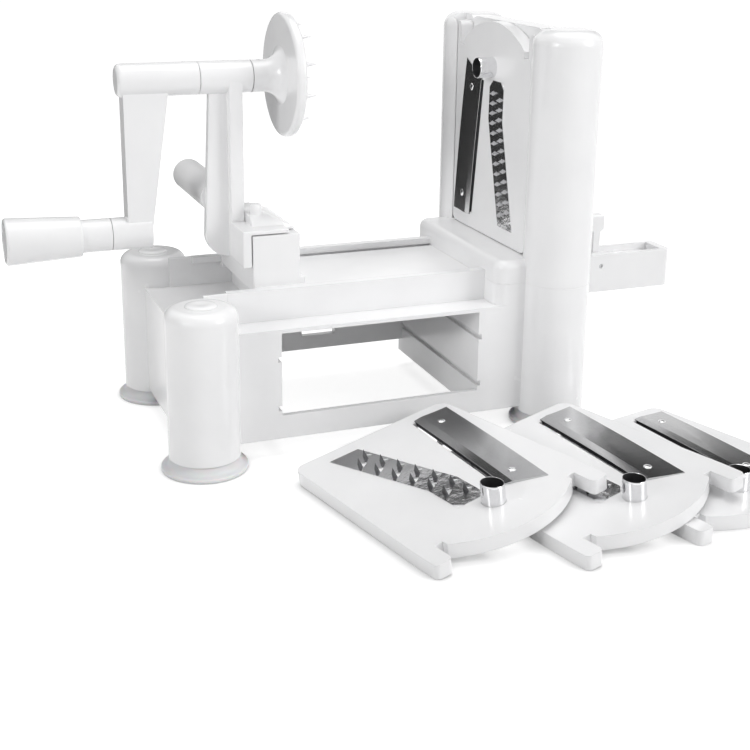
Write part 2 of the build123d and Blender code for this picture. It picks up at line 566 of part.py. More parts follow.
with BuildPart() as post_screws:
    with Locations(*[(x, y, LIP_TOP - SOLE_LEFT) for x, y, z in POST_SCREWS]):
        Cylinder(POST_SCREW_R, POST_SCREW_L, align=(Align.CENTER, Align.CENTER, Align.MIN))
        Cylinder(2 * POST_SCREW_R, LIP_TOP - SOLE_LEFT - SOLE_Z - FIT, align=(Align.CENTER, Align.CENTER, Align.MAX))
post_screws.part.label = "post_screws"
export_step(post_screws.part, "parts/post_screws.step")

with BuildPart() as crank_post:
    with BuildSketch(side_plane()):
        with BuildLine():
            Polyline((LEFT_X + RIB_LEFT + 2, WEB_BOTTOM), (LEFT_X + RIB_LEFT + 2, AXIS_Z),
                     (LEFT_X + WEB_TOP_X, AXIS_Z), (LEFT_X + WEB_FLARE_X, WEB_FLARE_Z))
            ThreePointArc((LEFT_X + WEB_FLARE_X, WEB_FLARE_Z), (LEFT_X + 23.5, WEB_BOTTOM + 4.5),
                          (LEFT_X + RIB_LEFT + 2, WEB_BOTTOM))
        make_face()
    extrude(amount=POST_WEB_HALF, both=True)
    box_at((RIB_LEFT, RIB_RIGHT), both_sides(RIB_HALF), (LIP_TOP, AXIS_Z))
    with BuildSketch(Plane.YZ.offset(LEFT_X + TUBE_LEFT)):
        with Locations((MID_Y, AXIS_Z)):
            Circle(HUB_R)
    extrude(amount=TUBE_RIGHT - TUBE_LEFT)
    with BuildSketch(Plane.YZ.offset(LEFT_X + TUBE_LEFT)):
        with Locations((MID_Y, AXIS_Z)):
            Circle(BUSH_R)
    extrude(amount=TUBE_RIGHT - TUBE_LEFT, mode=Mode.SUBTRACT)
    with BuildSketch(side_plane()):
        with Locations((LEFT_X + HANDLE_X, HANDLE_Z)):
            Circle(SCREW_R)
    extrude(amount=POST_WEB_HALF + 1, both=True, mode=Mode.SUBTRACT)
    with Locations(*[(x, y, LIP_TOP) for x, y, z in POST_SCREWS]):
        Cylinder(POST_SCREW_R, POST_SCREW_L - SOLE_LEFT, align=(Align.CENTER, Align.CENTER, Align.MIN),
                 mode=Mode.SUBTRACT)
crank_post.part.label = "crank_post"
export_step(crank_post.part, "parts/crank_post.step")

with BuildPart() as push_handle:
    with BuildSketch(side_plane(MID_Y + POST_WEB_HALF)):
        with Locations((LEFT_X + HANDLE_X, HANDLE_Z)):
            Circle(HANDLE_R)
    extrude(amount=-(HANDLE_END - POST_WEB_HALF))
    fillet(push_handle.edges().group_by(Axis.Y)[-1], 2.0)
    # clear of the rib beside it
    box_at((RIB_LEFT, RIB_RIGHT), both_sides(RIB_HALF), (LIP_TOP, AXIS_Z), Mode.SUBTRACT)
    with BuildSketch(side_plane(MID_Y + POST_WEB_HALF)):
        with Locations((LEFT_X + HANDLE_X, HANDLE_Z)):
            Circle(SCREW_R)
    extrude(amount=-CUP_SCREW_L, mode=Mode.SUBTRACT)
push_handle.part.label = "push_handle"
export_step(push_handle.part, "parts/push_handle.step")

with BuildPart() as handle_screw:
    with BuildSketch(side_plane(MID_Y - POST_WEB_HALF)):
        with Locations((LEFT_X + HANDLE_X, HANDLE_Z)):
            Circle(SCREW_R)
    extrude(amount=-(CUP_SCREW_L - 2))
    with BuildSketch(side_plane(MID_Y - POST_WEB_HALF)):
        with Locations((LEFT_X + HANDLE_X, HANDLE_Z)):
            Circle(SCREW_HEAD_R)
    extrude(amount=SCREW_HEAD_T / 2)
handle_screw.part.label = "handle_screw"
export_step(handle_screw.part, "parts/handle_screw.step")

for name, bush_x in (("rear_bush", TUBE_LEFT), ("front_bush", TUBE_RIGHT - BUSH_L)):
    with BuildPart() as bush:
        with BuildSketch(Plane.YZ.offset(LEFT_X + bush_x)):
            with Locations((MID_Y, AXIS_Z)):
                Circle(BUSH_R)
                Circle(SPINDLE_R + RUN, mode=Mode.SUBTRACT)
        extrude(amount=BUSH_L)
    bush.part.label = name
    export_step(bush.part, f"parts/{name}.step")

# ---------------------------------------------------------------- crank
FOOT_Z = AXIS_Z - CRANK_RADIUS
HUB_PIN_X = (ARM_TOP_RIGHT + HUB_RIGHT) / 2

with BuildPart() as crank_arm:
    with BuildSketch(Plane.YZ.offset(LEFT_X + HUB_LEFT)):
        with Locations((MID_Y, AXIS_Z)):
            Circle(HUB_R)
    extrude(amount=HUB_RIGHT - HUB_LEFT)
    fillet(crank_arm.edges().group_by(Axis.X)[0], 3.0)
    with BuildSketch(Plane.YZ.offset(LEFT_X + FOOT_TUBE_LEFT)):
        with Locations((MID_Y, FOOT_Z)):
            Circle(HUB_R)
    extrude(amount=FOOT_TUBE_RIGHT - FOOT_TUBE_LEFT)
    with BuildSketch(side_plane()):
        Polygon((LEFT_X + ARM_LEFT, AXIS_Z), (LEFT_X + ARM_TOP_RIGHT, AXIS_Z),
                (LEFT_X + FOOT_TUBE_RIGHT, FOOT_Z), (LEFT_X + ARM_LEFT, FOOT_Z), align=None)
    extrude(amount=ARM_HALF, both=True)
    # spindle bore, hub pin hole and grip pin bore
    with BuildSketch(Plane.YZ.offset(LEFT_X + HUB_RIGHT)):
        with Locations((MID_Y, AXIS_Z)):
            Circle(SPINDLE_R)
    extrude(amount=-(HUB_RIGHT - HUB_LEFT - 6), mode=Mode.SUBTRACT)
    with BuildSketch(Plane.YZ.offset(LEFT_X + FOOT_TUBE_LEFT)):
        with Locations((MID_Y, FOOT_Z)):
            Circle(GRIP_PIN_R)
    extrude(amount=FOOT_TUBE_RIGHT - FOOT_TUBE_LEFT - 4, mode=Mode.SUBTRACT)
    with Locations((LEFT_X + HUB_PIN_X, MID_Y, AXIS_Z)):
        Cylinder(HUB_PIN_R, 2 * HUB_R + 1, mode=Mode.SUBTRACT)
crank_arm.part.label = "crank_arm"
export_step(crank_arm.part, "parts/crank_arm.step")

for name, pin_x in (("hub_pin", HUB_PIN_X), ("chuck_pin", CHUCK_PIN_X)):
    with BuildPart() as pin:
        with Locations((LEFT_X + pin_x, MID_Y, AXIS_Z)):
            Cylinder(HUB_PIN_R, 2 * HUB_R - 2)
    pin.part.label = name
    export_step(pin.part, f"parts/{name}.step")

SPINDLE_RIGHT = DISC_LEFT + DISC_T - 3.0

with BuildPart() as spindle:
    with BuildSketch(Plane.YZ.offset(LEFT_X + HUB_LEFT + 6)):
        with Locations((MID_Y, AXIS_Z)):
            Circle(SPINDLE_R)
    extrude(amount=SPINDLE_RIGHT - HUB_LEFT - 6)
    with Locations((LEFT_X + HUB_PIN_X, MID_Y, AXIS_Z), (LEFT_X + CHUCK_PIN_X, MID_Y, AXIS_Z)):
        Cylinder(HUB_PIN_R, 2 * HUB_R + 1, mode=Mode.SUBTRACT)
spindle.part.label = "spindle"
export_step(spindle.part, "parts/spindle.step")

with BuildPart() as chuck_disc:
    with BuildSketch(side_plane()):
        with BuildLine():
            x0 = LEFT_X
            Polyline((x0 + CHUCK_NECK_LEFT, AXIS_Z + SPINDLE_R), (x0 + CHUCK_NECK_LEFT, AXIS_Z + HUB_R),
                     (x0 + DISC_LEFT - 9, AXIS_Z + HUB_R))
            ThreePointArc((x0 + DISC_LEFT - 9, AXIS_Z + HUB_R), (x0 + DISC_LEFT - 3.5, AXIS_Z + HUB_R + 2.6),
                          (x0 + DISC_LEFT, AXIS_Z + HUB_R + 8))
            Polyline((x0 + DISC_LEFT, AXIS_Z + HUB_R + 8), (x0 + DISC_LEFT, AXIS_Z + DISC_R),
                     (x0 + DISC_LEFT + DISC_T, AXIS_Z + DISC_R), (x0 + DISC_LEFT + DISC_T, AXIS_Z),
                     (x0 + SPINDLE_RIGHT, AXIS_Z), (x0 + SPINDLE_RIGHT, AXIS_Z + SPINDLE_R),
                     (x0 + CHUCK_NECK_LEFT, AXIS_Z + SPINDLE_R))
        make_face()
    revolve(axis=Axis((LEFT_X, MID_Y, AXIS_Z), (1, 0, 0)))
    rim = chuck_disc.edges().filter_by(GeomType.CIRCLE).filter_by(lambda e: abs(e.radius - DISC_R) < 0.01)
    fillet(rim, 2.4)
    with BuildSketch(Plane.YZ.offset(LEFT_X + DISC_LEFT + DISC_T - 0.1)):
        with Locations((MID_Y, AXIS_Z)):
            Circle(SPIKE_R)
            with PolarLocations(16.0, 6):
                Circle(SPIKE_R)
            with PolarLocations(29.5, 10, start_angle=18):
                Circle(SPIKE_R)
    extrude(amount=SPIKE_H, taper=degrees(atan((SPIKE_R - 0.15) / SPIKE_H)))
    with Locations((LEFT_X + CHUCK_PIN_X, MID_Y, AXIS_Z)):
        Cylinder(HUB_PIN_R, 2 * HUB_R + 1, mode=Mode.SUBTRACT)
chuck_disc.part.label = "chuck_disc"
export_step(chuck_disc.part, "parts/chuck_disc.step")

with BuildPart() as grip_pin:
    with BuildSketch(Plane.YZ.offset(LEFT_X + GRIP_FLOOR - FIT)):
        with Locations((MID_Y, FOOT_Z)):
            Circle(GRIP_PIN_R)
    extrude(amount=FOOT_TUBE_RIGHT - 4 - GRIP_FLOOR + FIT)
    with BuildSketch(Plane.YZ.offset(LEFT_X + GRIP_FLOOR - FIT)):
        with Locations((MID_Y, FOOT_Z)):
            Circle(GRIP_PIN_HEAD_R)
    extrude(amount=-GRIP_PIN_HEAD_T)
grip_pin.part.label = "grip_pin"
export_step(grip_pin.part, "parts/grip_pin.step")

with BuildPart() as grip_sleeve:
    with BuildSketch(side_plane()):
        with BuildLine():
            Polyline((LEFT_X + GRIP_FLOOR, FOOT_Z + GRIP_PIN_R + RUN),
                     (LEFT_X + GRIP_NECK_RIGHT, FOOT_Z + GRIP_PIN_R + RUN),
                     (LEFT_X + GRIP_NECK_RIGHT, FOOT_Z + GRIP_NECK_R),
                     (LEFT_X + GRIP_BODY_RIGHT, FOOT_Z + GRIP_NECK_R),
                     (LEFT_X + GRIP_BODY_RIGHT, FOOT_Z + GRIP_R_RIGHT),
                     (LEFT_X + GRIP_LEFT, FOOT_Z + GRIP_R_LEFT),
                     (LEFT_X + GRIP_LEFT, FOOT_Z + GRIP_BORE_R),
                     (LEFT_X + GRIP_FLOOR, FOOT_Z + GRIP_BORE_R - 1.5), close=True)
        make_face()
    revolve(axis=Axis((LEFT_X, MID_Y, FOOT_Z), (1, 0, 0)))
    shoulder = grip_sleeve.edges().filter_by(GeomType.CIRCLE)
    fillet(shoulder.filter_by(lambda e: abs(e.radius - GRIP_R_RIGHT) < 0.01), 1.2)
    fillet(shoulder.filter_by(lambda e: abs(e.radius - GRIP_R_LEFT) < 0.01), 1.4)
grip_sleeve.part.label = "grip_sleeve"
export_step(grip_sleeve.part, "parts/grip_sleeve.step")

# ---------------------------------------------------------------- blade plates
# A plate is drawn on a plane whose origin is the crank axis at its face, x across and y up its
# length, and whose normal points out of the face, towards the vegetable.




def blade_axes():
    """Unit steps on the plate: down along the straight blade, and across it towards its edge."""
    lean = radians(BLADE_LEAN)
    return Vector(-sin(lean), -cos(lean)), Vector(cos(lean), -sin(lean))


def blade_corner(side, end):
    """A place on the straight blade: side 0 is its back and 1 its edge, end 0 its top and 1 its bottom."""
    down, across = blade_axes()
    skew = BLADE_SKEWS[end] * side
    return Vector(*BLADE_TOP) + across * (BLADE_WIDTH * side) + down * (skew + BLADE_LENGTH * end)


def blade_band(low, high, inset):
    """Corners of a band along the blade, from low to high across it, and this much short of its ends."""
    down, across = blade_axes()
    top, bottom = blade_corner(1, 0) + down * inset, blade_corner(1, 1) - down * inset
    corners = (top + across * low, top + across * high, bottom + across * high, bottom + across * low)
    return [(p.X, p.Y) for p in corners]


def strip_middle(v):
    """The middle of the toothed strip at this height on the plate."""
    if v > STRIP_BEND_V:
        share = (STRIP_TOP_V - v) / (STRIP_TOP_V - STRIP_BEND_V)
        return STRIP_U[0] + share * (STRIP_U[1] - STRIP_U[0])
    share = (STRIP_BEND_V - v) / (STRIP_BEND_V - STRIP_BOTTOM_V)
    return STRIP_U[1] + share * (STRIP_U[2] - STRIP_U[1])


def strip_band(inset):
    """Corners of the toothed strip, a band with one bend, drawn in by the inset."""
    half = STRIP_W / 2 - inset
    levels = (STRIP_TOP_V - inset, STRIP_BEND_V, STRIP_BOTTOM_V + inset)
    right = [(strip_middle(v) + half, v) for v in levels]
    left = [(strip_middle(v) - half, v) for v in levels]
    return right + left[::-1]


def tooth_places(count):
    """Middles of the teeth, in two staggered rows along the strip."""
    pitch = (STRIP_TOP_V - STRIP_BOTTOM_V - 2 * STRIP_END) / count
    places = []
    for row, side in enumerate((-ROW_SPACING / 2, ROW_SPACING / 2)):
        for i in range(count - row):
            v = STRIP_TOP_V - STRIP_END - pitch * (i + 0.5 + 0.5 * row)
            places.append((strip_middle(v) + side, v))
    return places


def rivet_places():
    """Two rivets on the straight blade's middle line, near its ends."""
    head = (blade_corner(0, 0) + blade_corner(1, 0)) / 2
    tail = (blade_corner(0, 1) + blade_corner(1, 1)) / 2
    places = [head + (tail - head) * share for share in (RIVET_SHARE, 1 - RIVET_SHARE)]
    return [(p.X, p.Y) for p in places]


def plate_shape(toothed):
    """The plate: a thin panel with rims behind its edges, two ears and a round lobe at its top."""
    with BuildPart() as plate:
        with BuildSketch() as outline:
            with BuildLine():
                Polyline((-LOBE_HALF, LOBE_NECK), (-LOBE_HALF, SHOULDER_UP), (EAR_W - PLATE_HALF_HIGH, SHOULDER_UP),
                         (EAR_W - PLATE_HALF_HIGH, EAR_UP), (-PLATE_HALF_HIGH, EAR_UP),
                         (-PLATE_HALF_HIGH, SHOULDER_UP), (-PLATE_HALF_LOW, -PLATE_DROP),
                         (PLATE_HALF_LOW, -PLATE_DROP), (PLATE_HALF_HIGH, SHOULDER_UP),
                         (PLATE_HALF_HIGH, EAR_UP), (PLATE_HALF_HIGH - EAR_W, EAR_UP),
                         (PLATE_HALF_HIGH - EAR_W, SHOULDER_UP), (LOBE_HALF, SHOULDER_UP), (LOBE_HALF, LOBE_NECK))
                ThreePointArc((LOBE_HALF, LOBE_NECK), (0, LOBE_UP), (-LOBE_HALF, LOBE_NECK))
            make_face()
            fillet(outline.vertices().group_by(Axis.Y)[0], PLATE_CORNER)
            fillet(outline.vertices().group_by(Axis.Y)[-1], EAR_ROUND)
        extrude(amount=-PLATE_T)
        with BuildSketch(Plane.XY.offset(-PLATE_T)):
            add(outline.sketch)
            offset(amount=-PLATE_RIM, mode=Mode.REPLACE)
            with Locations(*[(u, 0) for u in RIB_US]):
                Rectangle(RIB_T, 4 * PLATE_DROP, mode=Mode.SUBTRACT)
            with Locations(*[(0, v) for v in RIB_VS]):
                Rectangle(4 * PLATE_HALF_HIGH, RIB_T, mode=Mode.SUBTRACT)
        extrude(amount=PLATE_T - PLATE_PANEL, mode=Mode.SUBTRACT)
        # seat and slot of the straight blade, its rivet holes and the coring ring's hole
        with BuildSketch():
            Polygon(*[(p.X, p.Y) for p in (blade_corner(0, 0), blade_corner(1, 0), blade_corner(1, 1),
                                           blade_corner(0, 1))], align=None)
        extrude(amount=-BLADE_SEAT, mode=Mode.SUBTRACT)
        with BuildSketch():
            Polygon(*blade_band(-BLADE_OVERHANG, CUT_SLOT - BLADE_OVERHANG, 1.5), align=None)
            with Locations(*rivet_places()):
                Circle(RIVET_HOLE_R)
            Circle(RING_R)
            if toothed:
                Polygon(*strip_band(STRIP_SEAT_W), align=None)
        extrude(amount=-PLATE_T, mode=Mode.SUBTRACT)
        if toothed:
            with BuildSketch():
                Polygon(*strip_band(0), align=None)
            extrude(amount=-STRIP_SEAT, mode=Mode.SUBTRACT)
    return plate.part


def straight_blade_shape():
    """The long flat blade, bevelled along its cutting edge."""
    with BuildPart() as blade:
        with BuildSketch(Plane.XY.offset(-BLADE_SEAT)):
            Polygon(*[(p.X, p.Y) for p in (blade_corner(0, 0), blade_corner(1, 0), blade_corner(1, 1),
                                           blade_corner(0, 1))], align=None)
            with Locations(*rivet_places()):
                Circle(RIVET_HOLE_R, mode=Mode.SUBTRACT)
            Circle(RING_R, mode=Mode.SUBTRACT)
        extrude(amount=BLADE_T)
    return blade.part


def rivets_shape():
    """The straight blade's two rivets, with low round heads."""
    with BuildPart() as rivets:
        with BuildSketch(Plane.XY.offset(BLADE_T - BLADE_SEAT)):
            with Locations(*rivet_places()):
                Circle(RIVET_R)
        extrude(amount=RIVET_HEAD_T, taper=30)
        with BuildSketch(Plane.XY.offset(-PLATE_PANEL)):
            with Locations(*rivet_places()):
                Circle(RIVET_HOLE_R)
        extrude(amount=PLATE_PANEL + BLADE_T - BLADE_SEAT)
    return rivets.part


def coring_ring_shape():
    """The sharp steel tube on the crank's axis, set through the panel."""
    with BuildPart() as ring:
        with BuildSketch(Plane.XY.offset(-PLATE_PANEL)):
            Circle(RING_R)
            Circle(RING_R - RING_WALL, mode=Mode.SUBTRACT)
        extrude(amount=PLATE_PANEL + RING_OUT)
    return ring.part


def toothed_strip_shape(count, size):
    """The steel strip with its punched teeth, each standing beside its own triangular hole."""
    with BuildPart() as strip:
        with BuildSketch(Plane.XY.offset(-STRIP_SEAT)):
            Polygon(*strip_band(0), align=None)
            with Locations(*[(u - size * 0.75, v) for u, v in tooth_places(count)]):
                Polygon((0, -size * 0.6), (size * 0.7, 0), (0, size * 0.6), align=None, mode=Mode.SUBTRACT)
        extrude(amount=STRIP_T)
        with BuildSketch(Plane.XY.offset(STRIP_T - STRIP_SEAT)):
            with Locations(*tooth_places(count)):
                Polygon((0, -size * 0.5), (size * 0.5, 0), (0, size * 0.5), align=None)
        extrude(amount=size * TOOTH_RISE, taper=12)
    return strip.part


def save_blade_set(kind, plane, teeth, tooth_size):
    """Write the pieces of one blade plate, standing on its plane."""
    shapes = {
        "blade_plate": plate_shape(teeth > 0),
        "straight_blade": straight_blade_shape(),
        "blade_rivets": rivets_shape(),
        "coring_ring": coring_ring_shape(),
    }
    if teeth:
        shapes["toothed_strip"] = toothed_strip_shape(teeth, tooth_size)
    for piece, shape in shapes.items():
        placed = shape.moved(plane.location)
        placed.label = f"{piece}_{kind}"
        export_step(placed, f"parts/{placed.label}.step")


MOUNTED = Plane(origin=(LEFT_X + PLATE_X, MID_Y, AXIS_Z), x_dir=(0, -1, 0), z_dir=(-1, 0, 0))
save_blade_set("fine", MOUNTED, *FINE_TEETH)


def loose_plane(lean, centre):
    """A loose plate's plane: its left rim on the table and its right side raised by the lean."""
    across = HEADING_LEFT * cos(lean) - Vector(0, 0, 1) * sin(lean)
    lift = PLATE_T * cos(lean) + PLATE_HALF_HIGH * sin(lean)
    return Plane(origin=(centre.X, centre.Y, lift), x_dir=across, z_dir=across.cross(HEADING_UP))


# Each loose plate rests on its left rim. The second lies on the third's left edge, and the first
# leans with its right rim on the second's teeth.
HEADING_UP = Vector(cos(radians(LOOSE_HEADING)), sin(radians(LOOSE_HEADING)), 0)
HEADING_LEFT = HEADING_UP.cross(Vector(0, 0, 1))
FIRST = Vector(LEFT_X + LOOSE_FIRST[0], FRONT_Y + LOOSE_FIRST[1], 0)
SECOND = FIRST - HEADING_LEFT * LOOSE_STEP + HEADING_UP * LOOSE_SHIFTS[0]
THIRD = SECOND - HEADING_LEFT * LOOSE_STEP + HEADING_UP * LOOSE_SHIFTS[1]
SPAN = 2 * PLATE_HALF_HIGH
SECOND_LEAN = asin((PLATE_T + FIT) / LOOSE_STEP)
TEETH_TOP = STRIP_T - STRIP_SEAT + MEDIUM_TEETH[1] * TOOTH_RISE + FIT
FIRST_LEAN = asin((PLATE_T + TEETH_TOP + (SPAN - LOOSE_STEP) * sin(SECOND_LEAN)) / SPAN)

save_blade_set("coarse", loose_plane(FIRST_LEAN, FIRST), *COARSE_TEETH)
save_blade_set("medium", loose_plane(SECOND_LEAN, SECOND), *MEDIUM_TEETH)
save_blade_set("ribbon", loose_plane(0, THIRD), 0, 0)
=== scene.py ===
# A hand-cranked vegetable spiralizer in white plastic: a base on four suction cups, a crank on a
# sliding carriage, a tower with one steel-bladed plate, and three spare plates lying in front.
# Metres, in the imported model's frame: +X runs from the crank to the tower, -Y is the front.
import math

import bmesh
import bpy
import numpy as np
from mathutils import Matrix, Vector
from mathutils.geometry import tessellate_polygon


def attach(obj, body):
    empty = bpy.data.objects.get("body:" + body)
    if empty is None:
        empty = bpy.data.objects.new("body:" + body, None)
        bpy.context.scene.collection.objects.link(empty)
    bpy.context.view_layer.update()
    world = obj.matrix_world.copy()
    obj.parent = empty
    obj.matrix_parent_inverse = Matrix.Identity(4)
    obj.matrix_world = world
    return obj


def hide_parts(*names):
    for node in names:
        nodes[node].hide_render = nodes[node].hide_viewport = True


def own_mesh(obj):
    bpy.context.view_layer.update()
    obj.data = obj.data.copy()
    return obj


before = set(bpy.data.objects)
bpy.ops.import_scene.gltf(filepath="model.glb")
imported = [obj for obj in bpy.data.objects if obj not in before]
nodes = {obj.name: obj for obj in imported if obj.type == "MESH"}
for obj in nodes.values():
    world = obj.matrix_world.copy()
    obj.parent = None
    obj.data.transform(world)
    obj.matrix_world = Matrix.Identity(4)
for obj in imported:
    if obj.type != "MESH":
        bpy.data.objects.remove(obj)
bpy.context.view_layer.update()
MM = 0.001

# ------------------------------------------------------------------------------ camera
# The photograph was taken from the front left, about 0.7 m away and a little above the object.
# It is 750 pixels wide, and its focal length is 1309.7 of them.
CAMERA_PLACE = (-0.2890, -0.6758, 0.3168)
CAMERA_YAW, CAMERA_PITCH, CAMERA_ROLL = (math.radians(a) for a in (21.39, 16.86, 0.71))
FOCAL_PIXELS, PHOTO_PIXELS, SENSOR_WIDTH = 1309.7, 750, 36.0
camera = bpy.data.objects.new("camera", bpy.data.cameras.new("camera"))
bpy.context.scene.collection.objects.link(camera)
bpy.context.scene.camera = camera
camera.location = CAMERA_PLACE
camera.rotation_euler = (
    Matrix.Rotation(-CAMERA_YAW, 3, "Z")
    @ Matrix.Rotation(math.pi / 2 - CAMERA_PITCH, 3, "X")
    @ Matrix.Rotation(CAMERA_ROLL, 3, "Z")
).to_euler()
camera.data.sensor_width = SENSOR_WIDTH
camera.data.lens = SENSOR_WIDTH * FOCAL_PIXELS / PHOTO_PIXELS
camera.data.shift_y = -0.10
camera.data.clip_start = 0.01

# ------------------------------------------------------------------------------ studio
# A seamless white sweep under four soft lamps: a large key from the front right, a smaller one
# from the front left, a broad one above and a faint narrow one on the mounted plate. The
# background is plain white, and the floor keeps the shadow.
WHITE = (1, 1, 1, 1)
AMBIENT, BACKDROP = 0.42, 1.0


def seen_or_not(tree):
    """A mix of two shaders: the first lights the object, and the second is what the camera sees
    there, straight or in a reflection."""
    ray = tree.nodes.new("ShaderNodeLightPath")
    seen = tree.nodes.new("ShaderNodeMath")
    seen.operation = "MAXIMUM"
    mixer = tree.nodes.new("ShaderNodeMixShader")
    tree.links.new(ray.outputs["Is Camera Ray"], seen.inputs[0])
    tree.links.new(ray.outputs["Is Glossy Ray"], seen.inputs[1])
    tree.links.new(seen.outputs[0], mixer.inputs["Fac"])
    return mixer


world = bpy.data.worlds.new("studio")
bpy.context.scene.world = world
world.use_nodes = True
tree = world.node_tree
sky = tree.nodes["Background"]
backdrop = tree.nodes.new("ShaderNodeBackground")
for shader, strength in ((sky, AMBIENT), (backdrop, BACKDROP)):
    shader.inputs["Color"].default_value = WHITE
    shader.inputs["Strength"].default_value = strength
mixer = seen_or_not(tree)
tree.links.new(sky.outputs[0], mixer.inputs[1])
tree.links.new(backdrop.outputs[0], mixer.inputs[2])
tree.links.new(mixer.outputs[0], tree.nodes["World Output"].inputs["Surface"])


def lamp(name, place, aim, width, height, power):
    """A soft rectangular lamp at a place, turned towards its aim."""
    light = bpy.data.lights.new(name, "AREA")
    light.shape = "RECTANGLE"
    light.size, light.size_y, light.energy = width, height, power
    thing = bpy.data.objects.new(name, light)
    bpy.context.scene.collection.objects.link(thing)
    thing.location = place
    thing.rotation_euler = (Vector(aim) - Vector(place)).to_track_quat("-Z", "Y").to_euler()
    return thing


lamp("key_lamp", (1.3, -1.2, 0.9), (0.08, 0, 0.1), 0.9, 0.9, 15.5)
lamp("front_left_lamp", (-1.5, -0.5, 0.6), (0, 0, 0.1), 0.5, 0.7, 1.6)
lamp("top_lamp", (0.1, 0.2, 1.7), (0, 0, 0.1), 1.2, 0.9, 11.0)
plate_lamp = lamp("plate_lamp", (-1.1, -0.5, 0.55), (0.10, 0.06, 0.17), 0.3, 0.3, 0.15)
plate_lamp.data.spread = math.radians(32)


def sheet_mesh(name, corners):
    """A flat sheet with these corners."""
    mesh = bpy.data.meshes.new(name)
    mesh.from_pydata(corners, [], [tuple(range(len(corners)))])
    thing = bpy.data.objects.new(name, mesh)
    bpy.context.scene.collection.objects.link(thing)
    return thing


# The floor is matte to the light. To the camera it glows white, and darkens where something
# stands within the shadow's reach of it.
FLOOR_HALF = 6.0
FLOOR_MATTE, FLOOR_SEEN = 0.84, 0.40
GLOW_IN_SHADOW, GLOW_IN_OPEN, SHADOW_REACH = 0.05, 0.86, 0.012
floor = sheet_mesh("floor", [(-FLOOR_HALF, -FLOOR_HALF, 0), (FLOOR_HALF, -FLOOR_HALF, 0),
                             (FLOOR_HALF, FLOOR_HALF, 0), (-FLOOR_HALF, FLOOR_HALF, 0)])
paper = bpy.data.materials.new("white_sweep")
paper.use_nodes = True
tree = paper.node_tree
tree.nodes.remove(tree.nodes["Principled BSDF"])
matte = tree.nodes.new("ShaderNodeBsdfDiffuse")
faint = tree.nodes.new("ShaderNodeBsdfDiffuse")
for shader, level in ((matte, FLOOR_MATTE), (faint, FLOOR_SEEN)):
    shader.inputs["Color"].default_value = (level, level, level, 1)
glow = tree.nodes.new("ShaderNodeEmission")
under = tree.nodes.new("ShaderNodeAmbientOcclusion")
under.inputs["Distance"].default_value = SHADOW_REACH
under.samples = 8
glow_level = tree.nodes.new("ShaderNodeMapRange")
glow_level.inputs["To Min"].default_value = GLOW_IN_SHADOW
glow_level.inputs["To Max"].default_value = GLOW_IN_OPEN
both = tree.nodes.new("ShaderNodeAddShader")
mixer = seen_or_not(tree)
tree.links.new(under.outputs["AO"], glow_level.inputs["Value"])
tree.links.new(glow_level.outputs["Result"], glow.inputs["Strength"])
tree.links.new(faint.outputs[0], both.inputs[0])
tree.links.new(glow.outputs[0], both.inputs[1])
tree.links.new(matte.outputs[0], mixer.inputs[1])
tree.links.new(both.outputs[0], mixer.inputs[2])
tree.links.new(mixer.outputs[0], tree.nodes["Material Output"].inputs["Surface"])
floor.data.materials.append(paper)

# Three black cards stand outside the picture, where only reflections meet them. They give the bare
# steel its dark tones and the glossy plastic a soft edge.
card_black = bpy.data.materials.new("card_black")
card_black.use_nodes = True
card_shader = card_black.node_tree.nodes["Principled BSDF"]
card_shader.inputs["Base Color"].default_value = (0.02, 0.02, 0.02, 1)
card_shader.inputs["Roughness"].default_value = 0.9
CARDS = {
    "left_card": [(-1.5, -0.2, 0.0), (-1.1, 0.9, 0.0), (-1.1, 0.9, 1.0), (-1.5, -0.2, 1.0)],
    "back_left_card": [(-0.50, 0.50, 0.0), (0.04, 0.50, 0.0), (0.04, 0.50, 0.36),
                       (-0.50, 0.50, 0.36)],
    "back_card": [(-0.2, 1.2, 0.95), (0.53, 1.2, 0.86), (0.90, 1.2, 0.78), (1.24, 1.2, 0.50),
                  (2.0, 1.2, 0.45), (2.0, 1.2, 1.9), (-0.2, 1.2, 1.9)],
}
for name, corners in CARDS.items():
    card = sheet_mesh(name, corners)
    card.data.materials.append(card_black)
    card.visible_camera = False
    card.visible_diffuse = False
    card.visible_shadow = False
    card.visible_transmission = False

# ------------------------------------------------------------------------------ white mouldings
# Base, tower, arm, crank, handle and blade plates are injection mouldings in glossy white plastic,
# with softly rounded edges and the faint waviness of a moulded skin.


